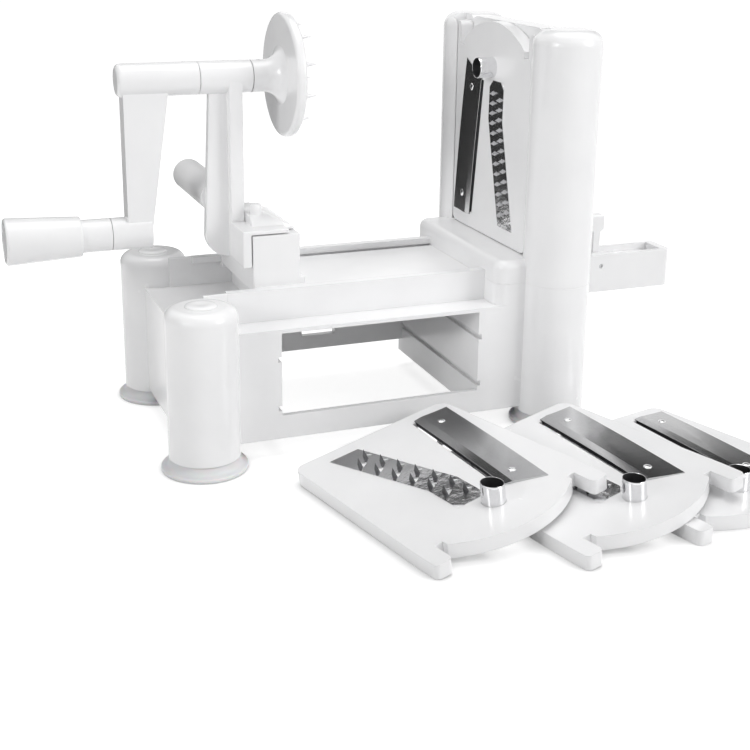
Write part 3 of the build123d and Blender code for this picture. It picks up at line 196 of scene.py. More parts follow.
def gloss_plastic(name, dark, light, edge=0.6 * MM, roughness=(0.20, 0.30)):
    """White plastic: its colour and gloss wander slowly over some centimetres, its skin is
    very finely uneven, and its edges shade as if rounded by this radius."""
    material = bpy.data.materials.new(name)
    material.use_nodes = True
    tree = material.node_tree
    shader = tree.nodes["Principled BSDF"]
    place = tree.nodes.new("ShaderNodeTexCoord")
    clouds = tree.nodes.new("ShaderNodeTexNoise")
    clouds.inputs["Scale"].default_value = 28.0
    clouds.inputs["Detail"].default_value = 3.0
    tone = tree.nodes.new("ShaderNodeValToRGB")
    for stop, position, colour in zip(tone.color_ramp.elements, (0.3, 0.7), (dark, light)):
        stop.position = position
        stop.color = (*colour, 1)
    gloss = tree.nodes.new("ShaderNodeMapRange")
    gloss.inputs["To Min"].default_value, gloss.inputs["To Max"].default_value = roughness
    skin = tree.nodes.new("ShaderNodeTexNoise")
    skin.inputs["Scale"].default_value = 420.0
    skin.inputs["Detail"].default_value = 2.0
    relief = tree.nodes.new("ShaderNodeBump")
    relief.inputs["Strength"].default_value = 0.05
    relief.inputs["Distance"].default_value = 0.2 * MM
    rounding = tree.nodes.new("ShaderNodeBevel")
    rounding.samples = 6
    rounding.inputs["Radius"].default_value = edge
    for texture in (clouds, skin):
        tree.links.new(place.outputs["Object"], texture.inputs["Vector"])
    tree.links.new(clouds.outputs["Fac"], tone.inputs["Fac"])
    tree.links.new(tone.outputs["Color"], shader.inputs["Base Color"])
    tree.links.new(clouds.outputs["Fac"], gloss.inputs["Value"])
    tree.links.new(gloss.outputs["Result"], shader.inputs["Roughness"])
    tree.links.new(skin.outputs["Fac"], relief.inputs["Height"])
    tree.links.new(rounding.outputs["Normal"], relief.inputs["Normal"])
    tree.links.new(relief.outputs["Normal"], shader.inputs["Normal"])
    shader.inputs["IOR"].default_value = 1.49
    shader.inputs["Coat Weight"].default_value = 0.15
    shader.inputs["Coat Roughness"].default_value = 0.08
    return material


def dress(thing, material):
    """Give a piece its only material."""
    thing.data.materials.clear()
    thing.data.materials.append(material)


white_plastic = gloss_plastic("white_plastic", (0.865, 0.865, 0.872), (0.90, 0.90, 0.905))
MOULDINGS = ("base_frame", "tower_frame", "steady_arm", "latch_lever", "push_handle", "crank_arm",
             "chuck_disc", "grip_sleeve", "blade_plate_fine", "blade_plate_coarse",
             "blade_plate_medium", "blade_plate_ribbon")
for name in MOULDINGS:
    dress(nodes[name], white_plastic)

# ------------------------------------------------------------------------------ suction cups
# Four soft white cups under the columns, moulded in one piece: a thin flared lip on the table, a
# bowl that the column's foot stands in, and a hollow underneath. Each is held by one screw.
LEFT_AXIS, RIGHT_AXIS, FRONT_AXIS, BACK_AXIS = -123.2, 103.2, 16.6, 145.9
CUP_PLACES = {"front_left": (LEFT_AXIS, FRONT_AXIS), "back_left": (LEFT_AXIS, BACK_AXIS),
              "front_right": (RIGHT_AXIS, FRONT_AXIS), "back_right": (RIGHT_AXIS, BACK_AXIS)}
CUP_PROFILE = np.array([
    (2.2, 8.0), (9.0, 8.0), (16.5, 8.0), (18.6, 7.3), (19.9, 5.9), (20.9, 4.4), (22.0, 3.3),
    (23.6, 2.75), (25.0, 2.6), (25.35, 2.2), (25.4, 1.6), (25.2, 0.7), (24.7, 0.1), (24.0, 0.0),
    (22.6, 0.3), (20.8, 1.3), (18.8, 3.2), (16.4, 4.7), (13.0, 5.4), (8.0, 5.6), (2.2, 5.6)]) * MM


def rounded_loop(corners):
    """A closed outline with its corners cut off: two points on every side, at a quarter and three
    quarters of it, take the corners' place."""
    ahead = np.roll(corners, -1, axis=0)
    cut = np.stack([0.75 * corners + 0.25 * ahead, 0.25 * corners + 0.75 * ahead], axis=1)
    return cut.reshape(-1, 2)


def turned(profile, centre, axis, steps=96):
    """A turned shape: point (r, h) of the profile goes to centre + h axis + r (side cos t +
    up sin t), for t once round; side and up are square to the axis."""
    axis = np.array(axis, float)
    side = np.cross(axis, (0, 0, 1)) if abs(axis[2]) < 0.9 else np.array((1.0, 0, 0))
    side = side / np.linalg.norm(side)
    up = np.cross(axis, side)
    t = np.linspace(0, 2 * math.pi, steps, endpoint=False)
    ring = np.cos(t)[:, None] * side + np.sin(t)[:, None] * up
    heights = profile[None, :, 1:] * axis
    return np.array(centre) + heights + profile[None, :, :1] * ring[:, None, :]


def quads(rows, columns, close_rows, close_columns):
    """Faces of a grid of points, joined end to start along its rows or columns where it closes."""
    r = np.arange(rows if close_rows else rows - 1)
    c = np.arange(columns if close_columns else columns - 1)
    r, c = (a.ravel() for a in np.meshgrid(r, c, indexing="ij"))
    r1, c1 = (r + 1) % rows, (c + 1) % columns
    corners = [r * columns + c, r1 * columns + c, r1 * columns + c1, r * columns + c1]
    return np.stack(corners, axis=1).tolist()


def turned_shell(grid, hollow=False):
    """A turned grid with its faces; a hollow one's profile is a loop, and joins its own start."""
    return grid, quads(*grid.shape[:2], True, hollow)


def piece(name, shells, material, slot, body, *replaced, crease=35):
    """One mesh from shells of (points, faces), shaded smooth up to the crease angle in degrees; it
    has the material, rides on the body and stands for the nodes that it replaces."""
    points, faces, start = [], [], 0
    for shell_points, shell_faces in shells:
        shell_points = np.asarray(shell_points).reshape(-1, 3)
        points.append(shell_points)
        faces += [[int(v) + start for v in face] for face in shell_faces]
        start += len(shell_points)
    mesh = bpy.data.meshes.new(name)
    mesh.from_pydata(np.concatenate(points).tolist(), [], faces)
    work = bmesh.new()
    work.from_mesh(mesh)
    bmesh.ops.remove_doubles(work, verts=work.verts, dist=1e-7)
    bmesh.ops.recalc_face_normals(work, faces=work.faces)
    work.to_mesh(mesh)
    work.free()
    mesh.shade_smooth()
    mesh.set_sharp_from_angle(angle=math.radians(crease))
    thing = bpy.data.objects.new(name, mesh)
    bpy.context.scene.collection.objects.link(thing)
    dress(thing, material)
    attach(thing, body)
    if replaced:
        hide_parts(*replaced)
    return thing


cup_rubber = gloss_plastic("cup_rubber", (0.76, 0.76, 0.77), (0.83, 0.83, 0.84),
                           edge=0.3 * MM, roughness=(0.34, 0.46))
cup_shader = cup_rubber.node_tree.nodes["Principled BSDF"]
cup_shader.inputs["Subsurface Weight"].default_value = 0.25
cup_shader.inputs["Subsurface Scale"].default_value = 2 * MM
cup_shader.inputs["Coat Weight"].default_value = 0.05
for corner, (x, y) in CUP_PLACES.items():
    grid = turned(rounded_loop(CUP_PROFILE), (x * MM, y * MM, 0), (0, 0, 1))
    piece("cup_" + corner, [turned_shell(grid, hollow=True)], cup_rubber, "cup_rubber", "base",
          "suction_cup_" + corner)

# ------------------------------------------------------------------------------ column plugs
# A round plug is pressed into the top of each left column: a low dome with a rolled edge and a
# shallow dimple, on a peg that grips the hole.
COLUMN_TOP = 98.0
PLUG_PROFILE = np.array([
    (0.0, 1.15), (2.0, 1.2), (4.2, 1.45), (5.6, 1.5), (7.4, 1.4), (8.6, 1.05), (9.15, 0.55),
    (9.3, 0.02), (9.0, 0.02), (6.0, 0.02), (5.97, -0.3), (5.9, -3.9), (5.6, -4.0),
    (0.0, -4.0)]) * MM
for side in ("front", "back"):
    x, y = CUP_PLACES[side + "_left"]
    grid = turned(PLUG_PROFILE, (x * MM, y * MM, COLUMN_TOP * MM), (0, 0, 1))
    piece("plug_" + side, [turned_shell(grid)], white_plastic, "white_gloss", "base",
          "column_plug_" + side)

# ------------------------------------------------------------------------------ plain steel
# Screws, pins and the crank's spindle are plain turned steel. Almost all of it is hidden: the cup
# screws show from below, and the pins only as their ends.


def drawn_steel(name, colour, rough, streaks, grain, uv=False):
    """Bare steel: its tone and roughness follow a noise that is drawn out into streaks, by the
    three factors, and the same noise is its very fine relief."""
    material = bpy.data.materials.new(name)
    material.use_nodes = True
    tree = material.node_tree
    shader = tree.nodes["Principled BSDF"]
    place = tree.nodes.new("ShaderNodeTexCoord")
    stretch = tree.nodes.new("ShaderNodeMapping")
    stretch.inputs["Scale"].default_value = streaks
    lines = tree.nodes.new("ShaderNodeTexNoise")
    lines.inputs["Scale"].default_value = 1.0
    lines.inputs["Detail"].default_value = 4.0
    lines.inputs["Roughness"].default_value = 0.62
    tone = tree.nodes.new("ShaderNodeValToRGB")
    for stop, position, factor in zip(tone.color_ramp.elements, (0.25, 0.75),
                                      (1 - grain, 1 + grain)):
        stop.position = position
        stop.color = (*[min(1.0, c * factor) for c in colour], 1)
    gloss = tree.nodes.new("ShaderNodeMapRange")
    gloss.inputs["To Min"].default_value, gloss.inputs["To Max"].default_value = rough
    relief = tree.nodes.new("ShaderNodeBump")
    relief.name = "relief"
    relief.inputs["Strength"].default_value = 0.10
    relief.inputs["Distance"].default_value = 0.05 * MM
    tree.links.new(place.outputs["UV" if uv else "Object"], stretch.inputs["Vector"])
    tree.links.new(stretch.outputs["Vector"], lines.inputs["Vector"])
    tree.links.new(lines.outputs["Fac"], tone.inputs["Fac"])
    tree.links.new(tone.outputs["Color"], shader.inputs["Base Color"])
    tree.links.new(lines.outputs["Fac"], gloss.inputs["Value"])
    tree.links.new(gloss.outputs["Result"], shader.inputs["Roughness"])
    tree.links.new(lines.outputs["Fac"], relief.inputs["Height"])
    tree.links.new(relief.outputs["Normal"], shader.inputs["Normal"])
    shader.inputs["Metallic"].default_value = 1.0
    return material


turned_steel = drawn_steel("turned_steel", (0.52, 0.52, 0.53), (0.25, 0.42), (900, 900, 5200), 0.12)
for name in ("cup_screws", "tower_screws", "arm_screws", "latch_pin", "hub_pin", "chuck_pin"):
    dress(nodes[name], turned_steel)
rolled_steel = drawn_steel("rolled_steel", (0.52, 0.52, 0.53), (0.22, 0.38), (5200, 900, 900), 0.12)
for name in ("spindle", "grip_pin"):
    dress(nodes[name], rolled_steel)

# ------------------------------------------------------------------------------ carriage
# The block under the post is one moulding: it fills the track from lip to lip, has a low flange at
# its right and hooks under the lips. A separate saddle, with a sloping cowl, sits over it.
TRACK_MIDDLE = 81.25
BLOCK_HALF, SLOT_HALF, SLOT_OVERLAP = 36.7, 9.7, 0.01
HOOK_REACH, HOOK_WEB_REACH = (38.0, 42.9), (36.6, 39.4)
# Side outlines are (station, height) in millimetres, stations from the left columns' axis.
BODY_SIDE = [(39.0, 93.6), (71.0, 93.6), (71.0, 102.0), (68.0, 102.0), (68.0, 128.6),
             (39.0, 128.6)]
HOOK_SIDE = [(39.0, 90.3), (71.0, 90.3), (71.0, 93.7), (39.0, 93.7)]
HOOK_WEB_SIDE = [(39.0, 90.3), (71.0, 90.3), (71.0, 97.9), (39.0, 97.9)]
SADDLE_SIDE = [(33.2, 109.7), (38.3, 109.7), (38.3, 129.3), (61.5, 129.3), (61.5, 131.7),
               (33.2, 131.7)]
SADDLE_TOP = [(42.3, 129.3), (61.5, 129.3), (61.5, 131.7), (42.3, 131.7)]
# The cowl's levels: height, right station and half depth. Its left side is upright.
COWL_LEFT = 42.3
COWL_LEVELS = ((129.0, 67.6, 27.0), (130.4, 67.6, 27.0), (137.0, 52.0, 17.0))


def prism(outline, near, far):
    """An outline (station, height) drawn through the depth from near to far of the track's
    middle; both ends are closed."""
    outline = np.asarray(outline)
    depth = np.array((near, far)) + TRACK_MIDDLE
    grid = np.empty((2, len(outline), 3))
    grid[..., 0] = outline[:, 0] + LEFT_AXIS
    grid[..., 1] = depth[:, None]
    grid[..., 2] = outline[:, 1]
    n = len(outline)
    ends = [list(range(n)), list(range(2 * n - 1, n - 1, -1))]
    return grid * MM, quads(2, n, False, True) + ends


def rounded_edges(thing, width):
    """Round every edge sharper than 40 degrees by this width."""
    bevel = thing.modifiers.new("rounded_edges", "BEVEL")
    bevel.width, bevel.segments = width, 3
    bevel.limit_method, bevel.angle_limit = "ANGLE", math.radians(40)
    bevel.harden_normals = True


shells = [prism(BODY_SIDE, -BLOCK_HALF, BLOCK_HALF)]
for outline, (inner, outer) in ((HOOK_SIDE, HOOK_REACH), (HOOK_WEB_SIDE, HOOK_WEB_REACH)):
    shells += [prism(outline, -outer, -inner), prism(outline, inner, outer)]
block = piece("carriage_block", shells, white_plastic, "white_gloss", "carriage", "carriage_body")
rounded_edges(block, 0.6 * MM)
cowl_points = np.array([
    (station + LEFT_AXIS, depth + TRACK_MIDDLE, height) for height, right, half in COWL_LEVELS
    for station, depth in ((COWL_LEFT, -half), (right, -half), (right, half), (COWL_LEFT, half))])
cowl = (cowl_points * MM, quads(3, 4, False, True) + [[3, 2, 1, 0], [8, 9, 10, 11]])
saddle = piece("carriage_saddle",
               [prism(SADDLE_SIDE, -BLOCK_HALF, -SLOT_HALF),
                prism(SADDLE_SIDE, SLOT_HALF, BLOCK_HALF),
                prism(SADDLE_TOP, -SLOT_HALF - SLOT_OVERLAP, SLOT_HALF + SLOT_OVERLAP), cowl],
               white_plastic, "white_gloss", "carriage", "carriage_cover")
rounded_edges(saddle, 0.7 * MM)

# ------------------------------------------------------------------------------ release button
# A small round button with a domed top, moulded in the same white plastic. It stands in the
# cowl's flat top over a spring, and goes down 3 mm.
BUTTON_X, BUTTON_Y = -75.7, 67.25
BUTTON_PROFILE = np.array([
    (0.0, 143.5), (1.6, 143.42), (2.7, 143.0), (3.35, 142.2), (3.6, 141.2), (3.6, 137.4),
    (3.6, 135.3), (3.4, 135.1), (0.0, 135.1)]) * MM
grid = turned(BUTTON_PROFILE, (BUTTON_X * MM, BUTTON_Y * MM, 0), (0, 0, 1), 64)
piece("button_cap", [turned_shell(grid)], white_plastic, "white_gloss", "button",
      "release_button")

# ------------------------------------------------------------------------------ track walls
# The track's two walls run on past the lips' left ends, to the left columns. They belong to the
# base's white moulding.
WALL_INNER, WALL_OUTER = 43.25, 45.65
WALL_SIDE = [(6.0, 76.6), (21.0, 76.6), (21.0, 97.9), (6.0, 97.9)]
walls = piece("track_wall_ends",
              [prism(WALL_SIDE, -WALL_OUTER, -WALL_INNER),
               prism(WALL_SIDE, WALL_INNER, WALL_OUTER)],
              white_plastic, "white_gloss", "base")
rounded_edges(walls, 0.4 * MM)

# ------------------------------------------------------------------------------ crank post
# The post is one moulding: a thin web along the crank's axis with a rounded foot, a broad rib
# across its right side, and the bearing tube on top. Its foot is screwed down inside the block.
CRANK_HEIGHT = 217.6
WEB_HALF, RIB_HALF = 3.0, 9.4
ROUND_CENTRE, ROUND_RADIUS = (33.6, 123.4), 14.4
round_turn = np.linspace(math.radians(-95), math.radians(-188), 14)
rounded_foot = np.stack([ROUND_CENTRE[0] + ROUND_RADIUS * np.cos(round_turn),
                         ROUND_CENTRE[1] + ROUND_RADIUS * np.sin(round_turn)], axis=1)
WEB_SIDE = np.concatenate([[(38.0, 109.0), (38.0, CRANK_HEIGHT), (23.6, CRANK_HEIGHT)],
                           rounded_foot[::-1]])
RIB_SIDE = [(33.6, 109.4), (42.0, 109.4), (42.0, CRANK_HEIGHT), (33.6, CRANK_HEIGHT)]
FOOT_SIDE = [(39.6, 98.2), (50.0, 98.2), (50.0, 116.0), (39.6, 116.0)]
TUBE_PROFILE = np.array([
    (7.02, 17.2), (9.2, 17.0), (9.65, 17.4), (9.65, 33.0), (9.65, 48.6), (9.2, 49.0),
    (7.02, 48.8), (7.02, 33.0)]) * MM
post = piece("post", [prism(WEB_SIDE, -WEB_HALF, WEB_HALF), prism(RIB_SIDE, -RIB_HALF, RIB_HALF),
                      prism(FOOT_SIDE, -RIB_HALF, RIB_HALF)],
             white_plastic, "white_gloss", "carriage", "crank_post")
rounded_edges(post, 0.8 * MM)
grid = turned(TUBE_PROFILE, (LEFT_AXIS * MM, TRACK_MIDDLE * MM, CRANK_HEIGHT * MM), (1, 0, 0))
piece("post_tube", [turned_shell(grid, hollow=True)], white_plastic, "white_gloss", "carriage",
      "crank_post")

# Two steel screws come up through the block's sole into the post's foot, inside the block.
SCREW_STATION, SCREW_SIDE = 45.0, 5.5
SCREW_PROFILE = np.array([
    (0.0, 93.9), (2.6, 93.9), (3.0, 94.3), (3.0, 95.4), (2.4, 95.9), (1.5, 95.9), (1.5, 112.0),
    (0.8, 113.6), (0.0, 114.0)]) * MM
shells = []
for side in (-SCREW_SIDE, SCREW_SIDE):
    centre = ((SCREW_STATION + LEFT_AXIS) * MM, (TRACK_MIDDLE + side) * MM, 0)
    shells.append(turned_shell(turned(SCREW_PROFILE, centre, (0, 0, 1), 32)))
piece("post_bolts", shells, turned_steel, "plain_steel", "carriage", "post_screws")

# ------------------------------------------------------------------------------ handle stud
# The push handle is held by a turned steel stud that is moulded into the post's web, so no screw
# shows from the front.
HANDLE_X, HANDLE_HEIGHT = -95.2, 145.0
STUD_PROFILE = np.array([(0.0, -2.0), (1.9, -2.0), (2.0, -1.9), (2.0, 18.8), (1.6, 19.4),
                         (0.0, 19.4)]) * MM
grid = turned(STUD_PROFILE, (HANDLE_X * MM, TRACK_MIDDLE * MM, HANDLE_HEIGHT * MM), (0, 1, 0), 32)
piece("handle_stud", [turned_shell(grid)], turned_steel, "plain_steel", "carriage",
      "handle_screw")

# ------------------------------------------------------------------------------ springs
# Two small wire springs: one under the release button, and one beside the latch lever on its pin.
TURN_STEPS, WIRE_SIDES = 20, 8


def coil(foot, axis, length, radius, wire, turns):
    """Spring wire: its middle runs round the axis at the radius, once a turn, and rises from foot
    to length; a circle of the wire's radius is carried along it, and both ends are closed."""
    axis = np.array(axis, float)
    side = np.array((1.0, 0, 0))
    up = np.cross(axis, side)
    t = np.linspace(0, 2 * math.pi * turns, turns * TURN_STEPS + 1)
    rise = wire + (length - 2 * wire) * t / t[-1]
    out = np.cos(t)[:, None] * side + np.sin(t)[:, None] * up
    middle = np.array(foot) + radius * out + rise[:, None] * axis
    s = np.linspace(0, 2 * math.pi, WIRE_SIDES, endpoint=False)
    circle = np.cos(s)[None, :, None] * out[:, None] + np.sin(s)[None, :, None] * axis
    last = (len(t) - 1) * WIRE_SIDES
    ends = [list(range(WIRE_SIDES - 1, -1, -1)), list(range(last, last + WIRE_SIDES))]
    return middle[:, None] + wire * circle, quads(len(t), WIRE_SIDES, False, True) + ends


spring_steel = drawn_steel("spring_steel", (0.45, 0.45, 0.46), (0.2, 0.34), (1400, 1400, 1400),
                           0.15)
BUTTON_SPRING_FOOT = (BUTTON_X * MM, BUTTON_Y * MM, 119.0 * MM)
button_coil = piece("button_coil", [coil(BUTTON_SPRING_FOOT, (0, 0, 1), 10.0 * MM, 2.1 * MM,
                                         0.35 * MM, 5)],
                    spring_steel, "plain_steel", "carriage", "button_spring")
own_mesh(button_coil)
LATCH_SPRING_FOOT = (167.8 * MM, 85.55 * MM, 82.0 * MM)
piece("latch_coil", [coil(LATCH_SPRING_FOOT, (0, 1, 0), 3.0 * MM, 2.2 * MM, 0.3 * MM, 3)],
      spring_steel, "plain_steel", "base", "latch_spring")

# ------------------------------------------------------------------------------ bushes
# Two plain bearing rings for the spindle, pressed into the ends of the post's tube, in a duller,
# slightly grey plastic.
bush_plastic = gloss_plastic("bush_plastic", (0.66, 0.66, 0.65), (0.72, 0.72, 0.71),
                             edge=0.2 * MM, roughness=(0.5, 0.62))
bush_plastic.node_tree.nodes["Principled BSDF"].inputs["Coat Weight"].default_value = 0.0
for name in ("front_bush", "rear_bush"):
    dress(nodes[name], bush_plastic)

# ------------------------------------------------------------------------------ straight blades
# Each plate has one long flat steel blade, brushed across its width, ground to a bevel along its
# cutting edge and riveted at both ends. Its edge stands a little off the plate, over a slot.
# All places on a plate are (u, v, w): across and up it from the crank's axis, and out of its face.
PLATE_HALF, PLATE_THICK, FIT = 59.4, 8.4, 0.3
PLATE_STATION = 209.1
# The loose plates lie face up in a row to the right, their upper ends to the front. Each one's
# right side leans on the next: the first on the second's teeth, the second on the third's rim.
LOOSE_FIRST, LOOSE_STEP, LOOSE_SHIFTS = (122.0, -132.0), 68.0, (36.0, 14.0)
LOOSE_HEADING = math.radians(-75.0)
STRIP_FACE, SECOND_TOOTH_RISE = 0.4, 3.6 * 0.9
along = np.array((math.cos(LOOSE_HEADING), math.sin(LOOSE_HEADING), 0.0))
leftward = np.cross(along, (0, 0, 1))
first = np.array((LEFT_AXIS + LOOSE_FIRST[0], FRONT_AXIS + LOOSE_FIRST[1], 0.0))
second = first - leftward * LOOSE_STEP + along * LOOSE_SHIFTS[0]
third = second - leftward * LOOSE_STEP + along * LOOSE_SHIFTS[1]
second_lean = math.asin((PLATE_THICK + FIT) / LOOSE_STEP)
first_lean = math.asin((PLATE_THICK + STRIP_FACE + SECOND_TOOTH_RISE + FIT
                        + (2 * PLATE_HALF - LOOSE_STEP) * math.sin(second_lean))
                       / (2 * PLATE_HALF))


def loose_axes(lean, middle):
    """Origin and the u, v, w steps of a loose plate that leans by this angle on its left rim."""
    across = leftward * math.cos(lean) - np.array((0, 0, 1)) * math.sin(lean)
    lift = PLATE_THICK * math.cos(lean) + PLATE_HALF * math.sin(lean)
    return middle + np.array((0, 0, lift)), across, along, np.cross(across, along)


PLATE_AXES = {
    "fine": (np.array((LEFT_AXIS + PLATE_STATION, TRACK_MIDDLE, CRANK_HEIGHT)),
             np.array((0, -1.0, 0)), np.array((0, 0, 1.0)), np.array((-1.0, 0, 0))),
    "coarse": loose_axes(first_lean, first),
    "medium": loose_axes(second_lean, second),
    "ribbon": loose_axes(0.0, third),
}
PLATE_BODY = {"fine": "plate", "coarse": "base", "medium": "base", "ribbon": "base"}


def on_plate(kind, places):
    """Points (u, v, w) in millimetres on a plate, as points of the scene in metres."""
    origin, across, up, out = PLATE_AXES[kind]
    places = np.asarray(places, float)
    return (origin + places[..., :1] * across + places[..., 1:2] * up + places[..., 2:] * out) * MM


def from_axis(kind, point):
    """From the crank's axis on a plate's face to a point of the scene, in millimetres."""
    return np.array(point) / MM - PLATE_AXES[kind][0]


BLADE_TOP, BLADE_LEAN = np.array((-37.0, 2.2)), math.radians(7.7)
BLADE_LENGTH, BLADE_WIDTH, BEVEL_WIDTH = 104.5, 24.4, 5.2
TOP_SKEW, BOTTOM_SKEW = 7.0, -3.0
EDGE_RISE, EDGE_POWER, BOW = 1.1, 1.6, 0.5
blade_down = np.array((-math.sin(BLADE_LEAN), -math.cos(BLADE_LEAN)))
blade_across = np.array((math.cos(BLADE_LEAN), -math.sin(BLADE_LEAN)))


def blade_surface():
    """The blade as a grid: a closed section (s across, w out) is carried from the top end to the
    bottom. Its upper side is flat, then falls along the bevel, and a lip goes down into the slot;
    the whole rises towards the edge, and bows up along its length as a shallow parabola."""
    flat = BLADE_WIDTH - BEVEL_WIDTH
    section = np.array([
        (0.0, -0.6), (0.0, 0.5), (0.15, 0.6), (flat * 0.5, 0.6), (flat, 0.6), (flat + 0.2, 0.57),
        (BLADE_WIDTH - 0.1, -0.35), (BLADE_WIDTH, -0.5), (BLADE_WIDTH - 0.1, -0.6),
        (BLADE_WIDTH - 0.4, -3.2), (BLADE_WIDTH - 1.0, -3.2), (BLADE_WIDTH - 1.1, -0.65),
        (flat * 0.5, -0.6)])
    side = section[:, 0] / BLADE_WIDTH
    section[:, 1] += EDGE_RISE * side ** EDGE_POWER
    share = np.linspace(0, 1, 33)
    skew = TOP_SKEW + (BOTTOM_SKEW - TOP_SKEW) * share
    length = BLADE_LENGTH * share[:, None] + skew[:, None] * side[None, :]
    place = BLADE_TOP + section[None, :, :1] * blade_across + length[..., None] * blade_down
    out = section[None, :, 1:] + BOW * (4 * share * (1 - share))[:, None, None]
    return np.concatenate([place, out], axis=2)


def brushed_uv(mesh, kind):
    """UV in metres: along the blade's length, and across it."""
    origin, across, up, _ = PLATE_AXES[kind]
    points = np.empty(len(mesh.vertices) * 3)
    mesh.vertices.foreach_get("co", points)
    local = points.reshape(-1, 3) - origin * MM
    flat = np.stack([local @ across, local @ up], axis=1)
    uv = np.stack([flat @ blade_down, flat @ blade_across], axis=1)
    corner = np.empty(len(mesh.loops), dtype=np.int32)
    mesh.loops.foreach_get("vertex_index", corner)
    layer = mesh.uv_layers.new(name="brushing")
    layer.uv.foreach_set("vector", uv[corner].ravel())


brushed_steel = drawn_steel("brushed_steel", (0.56, 0.56, 0.565), (0.15, 0.23), (2200, 70, 1),
                            0.10, uv=True)
brushed_steel.node_tree.nodes["Principled BSDF"].inputs["Anisotropic"].default_value = 0.55
# Near-black steel as painted shade, for the blade's lip walls in the slot and the coring rings'
# bores.
painted_shade_steel = drawn_steel("painted_shade_steel", (0.045, 0.045, 0.047), (0.5, 0.7), (900, 900, 900), 0.2)
grid = blade_surface()
rows, columns = grid.shape[:2]
ends = [list(range(columns)), list(range(rows * columns - 1, (rows - 1) * columns - 1, -1))]
blade_faces = quads(rows, columns, False, True) + ends
for kind in PLATE_AXES:
    blade = piece("blade_" + kind, [(on_plate(kind, grid), blade_faces)], brushed_steel,
                  "blade_steel", PLATE_BODY[kind], "straight_blade_" + kind, crease=3)
    brushed_uv(blade.data, kind)
    blade.data.materials.append(painted_shade_steel)
    # The lip's walls, which face sideways below the plate's face, get near-black steel: painted
    # shade of the slot under the edge.
    out = PLATE_AXES[kind][3]
    for face in blade.data.polygons:
        if from_axis(kind, face.center) @ out < 0.0 and abs(np.array(face.normal) @ out) < 0.5:
            face.material_index = 1

# ------------------------------------------------------------------------------ rivets
# Two steel rivets hold each straight blade: low, broad heads, set bright and slightly domed, on
# shanks that go into the plate.
bright_steel = drawn_steel("bright_steel", (0.86, 0.86, 0.865), (0.16, 0.28), (700, 700, 700),
                           0.05)
RIVET_SHARES = (0.13, 0.87)
RIVET_PROFILE = np.array([(0.0, 1.25), (0.9, 1.22), (1.7, 1.08), (2.2, 0.86), (2.4, 0.62),
                          (2.4, 0.3), (1.4, 0.3), (1.4, -2.9), (0.0, -2.9)])
for kind, (_, _, _, out) in PLATE_AXES.items():
    shells = []
    for share in RIVET_SHARES:
        skew = TOP_SKEW + (BOTTOM_SKEW - TOP_SKEW) * share
        length = BLADE_LENGTH * share + skew / 2
        spot = BLADE_TOP + blade_across * BLADE_WIDTH / 2 + blade_down * length
        rise = EDGE_RISE * 0.5 ** EDGE_POWER + BOW * 4 * share * (1 - share)
        rivet = turned(RIVET_PROFILE * MM, on_plate(kind, (*spot, rise)), out, 40)
        shells.append(turned_shell(rivet))
    piece("rivets_" + kind, shells, bright_steel, "blade_steel", PLATE_BODY[kind],
          "blade_rivets_" + kind)

# ------------------------------------------------------------------------------ coring rings
# A short polished steel tube on the crank's axis, set through the plate and sharpened on the
# inside of its outer end. Its bore is painted near black, as painted shade.
ring_chrome = drawn_steel("ring_chrome", (0.74, 0.74, 0.75), (0.06, 0.13), (600, 600, 600), 0.06)
BORE_LIMIT = 6.05
RING_PROFILE = np.array([(5.9, -2.9), (6.6, -2.9), (6.6, 4.0), (6.6, 9.8), (6.56, 10.6),
                         (6.45, 11.1), (6.35, 11.2), (6.2, 11.1), (5.9, 9.9), (5.9, 4.0)])
for kind, (origin, _, _, out) in PLATE_AXES.items():
    grid = turned(RING_PROFILE * MM, origin * MM, out)
    ring = piece("ring_" + kind, [turned_shell(grid, hollow=True)], ring_chrome, "ring_steel",
                 PLATE_BODY[kind], "coring_ring_" + kind)
    # The bore's faces take the near-black steel: painted shade inside the tube.
    ring.data.materials.append(painted_shade_steel)
    for face in ring.data.polygons:
        spoke = from_axis(kind, face.center)
        spoke = spoke - out * (spoke @ out)
        if np.linalg.norm(spoke) < BORE_LIMIT:
            face.material_index = 1

# ------------------------------------------------------------------------------ toothed strips
# A thin steel strip with one bend lies beside the blade on three plates. Its teeth are punched:
# each is a pointed tab, cut from a triangular hole and bent upright along the hole's long side.
STRIP_TOP, STRIP_BEND, STRIP_BOTTOM = -8.0, -33.0, -100.0
STRIP_MIDDLES = (8.0, 7.6, 26.4)
STRIP_HALF, STRIP_SEAT, CORNER_CUT = 10.0, -0.4, 4.5
STRIP_END, ROW_SPACING, TAB_THICK = 5.0, 9.6, 0.55
TEETH = {"fine": (13, 2.6), "coarse": (7, 4.6), "medium": (9, 3.6)}
# A tooth's half width, its hole's depth, its point's lean and its point's height, for size 1.
TAB_HALF, HOLE_DEPTH, POINT_LEAN, POINT_HEIGHT = 0.62, 1.05, 0.22, 1.15


def strip_middle(v):
    """The strip's middle line: u is linear in v between its top, bend and bottom."""
    return np.interp(v, (STRIP_BOTTOM, STRIP_BEND, STRIP_TOP), STRIP_MIDDLES[::-1])


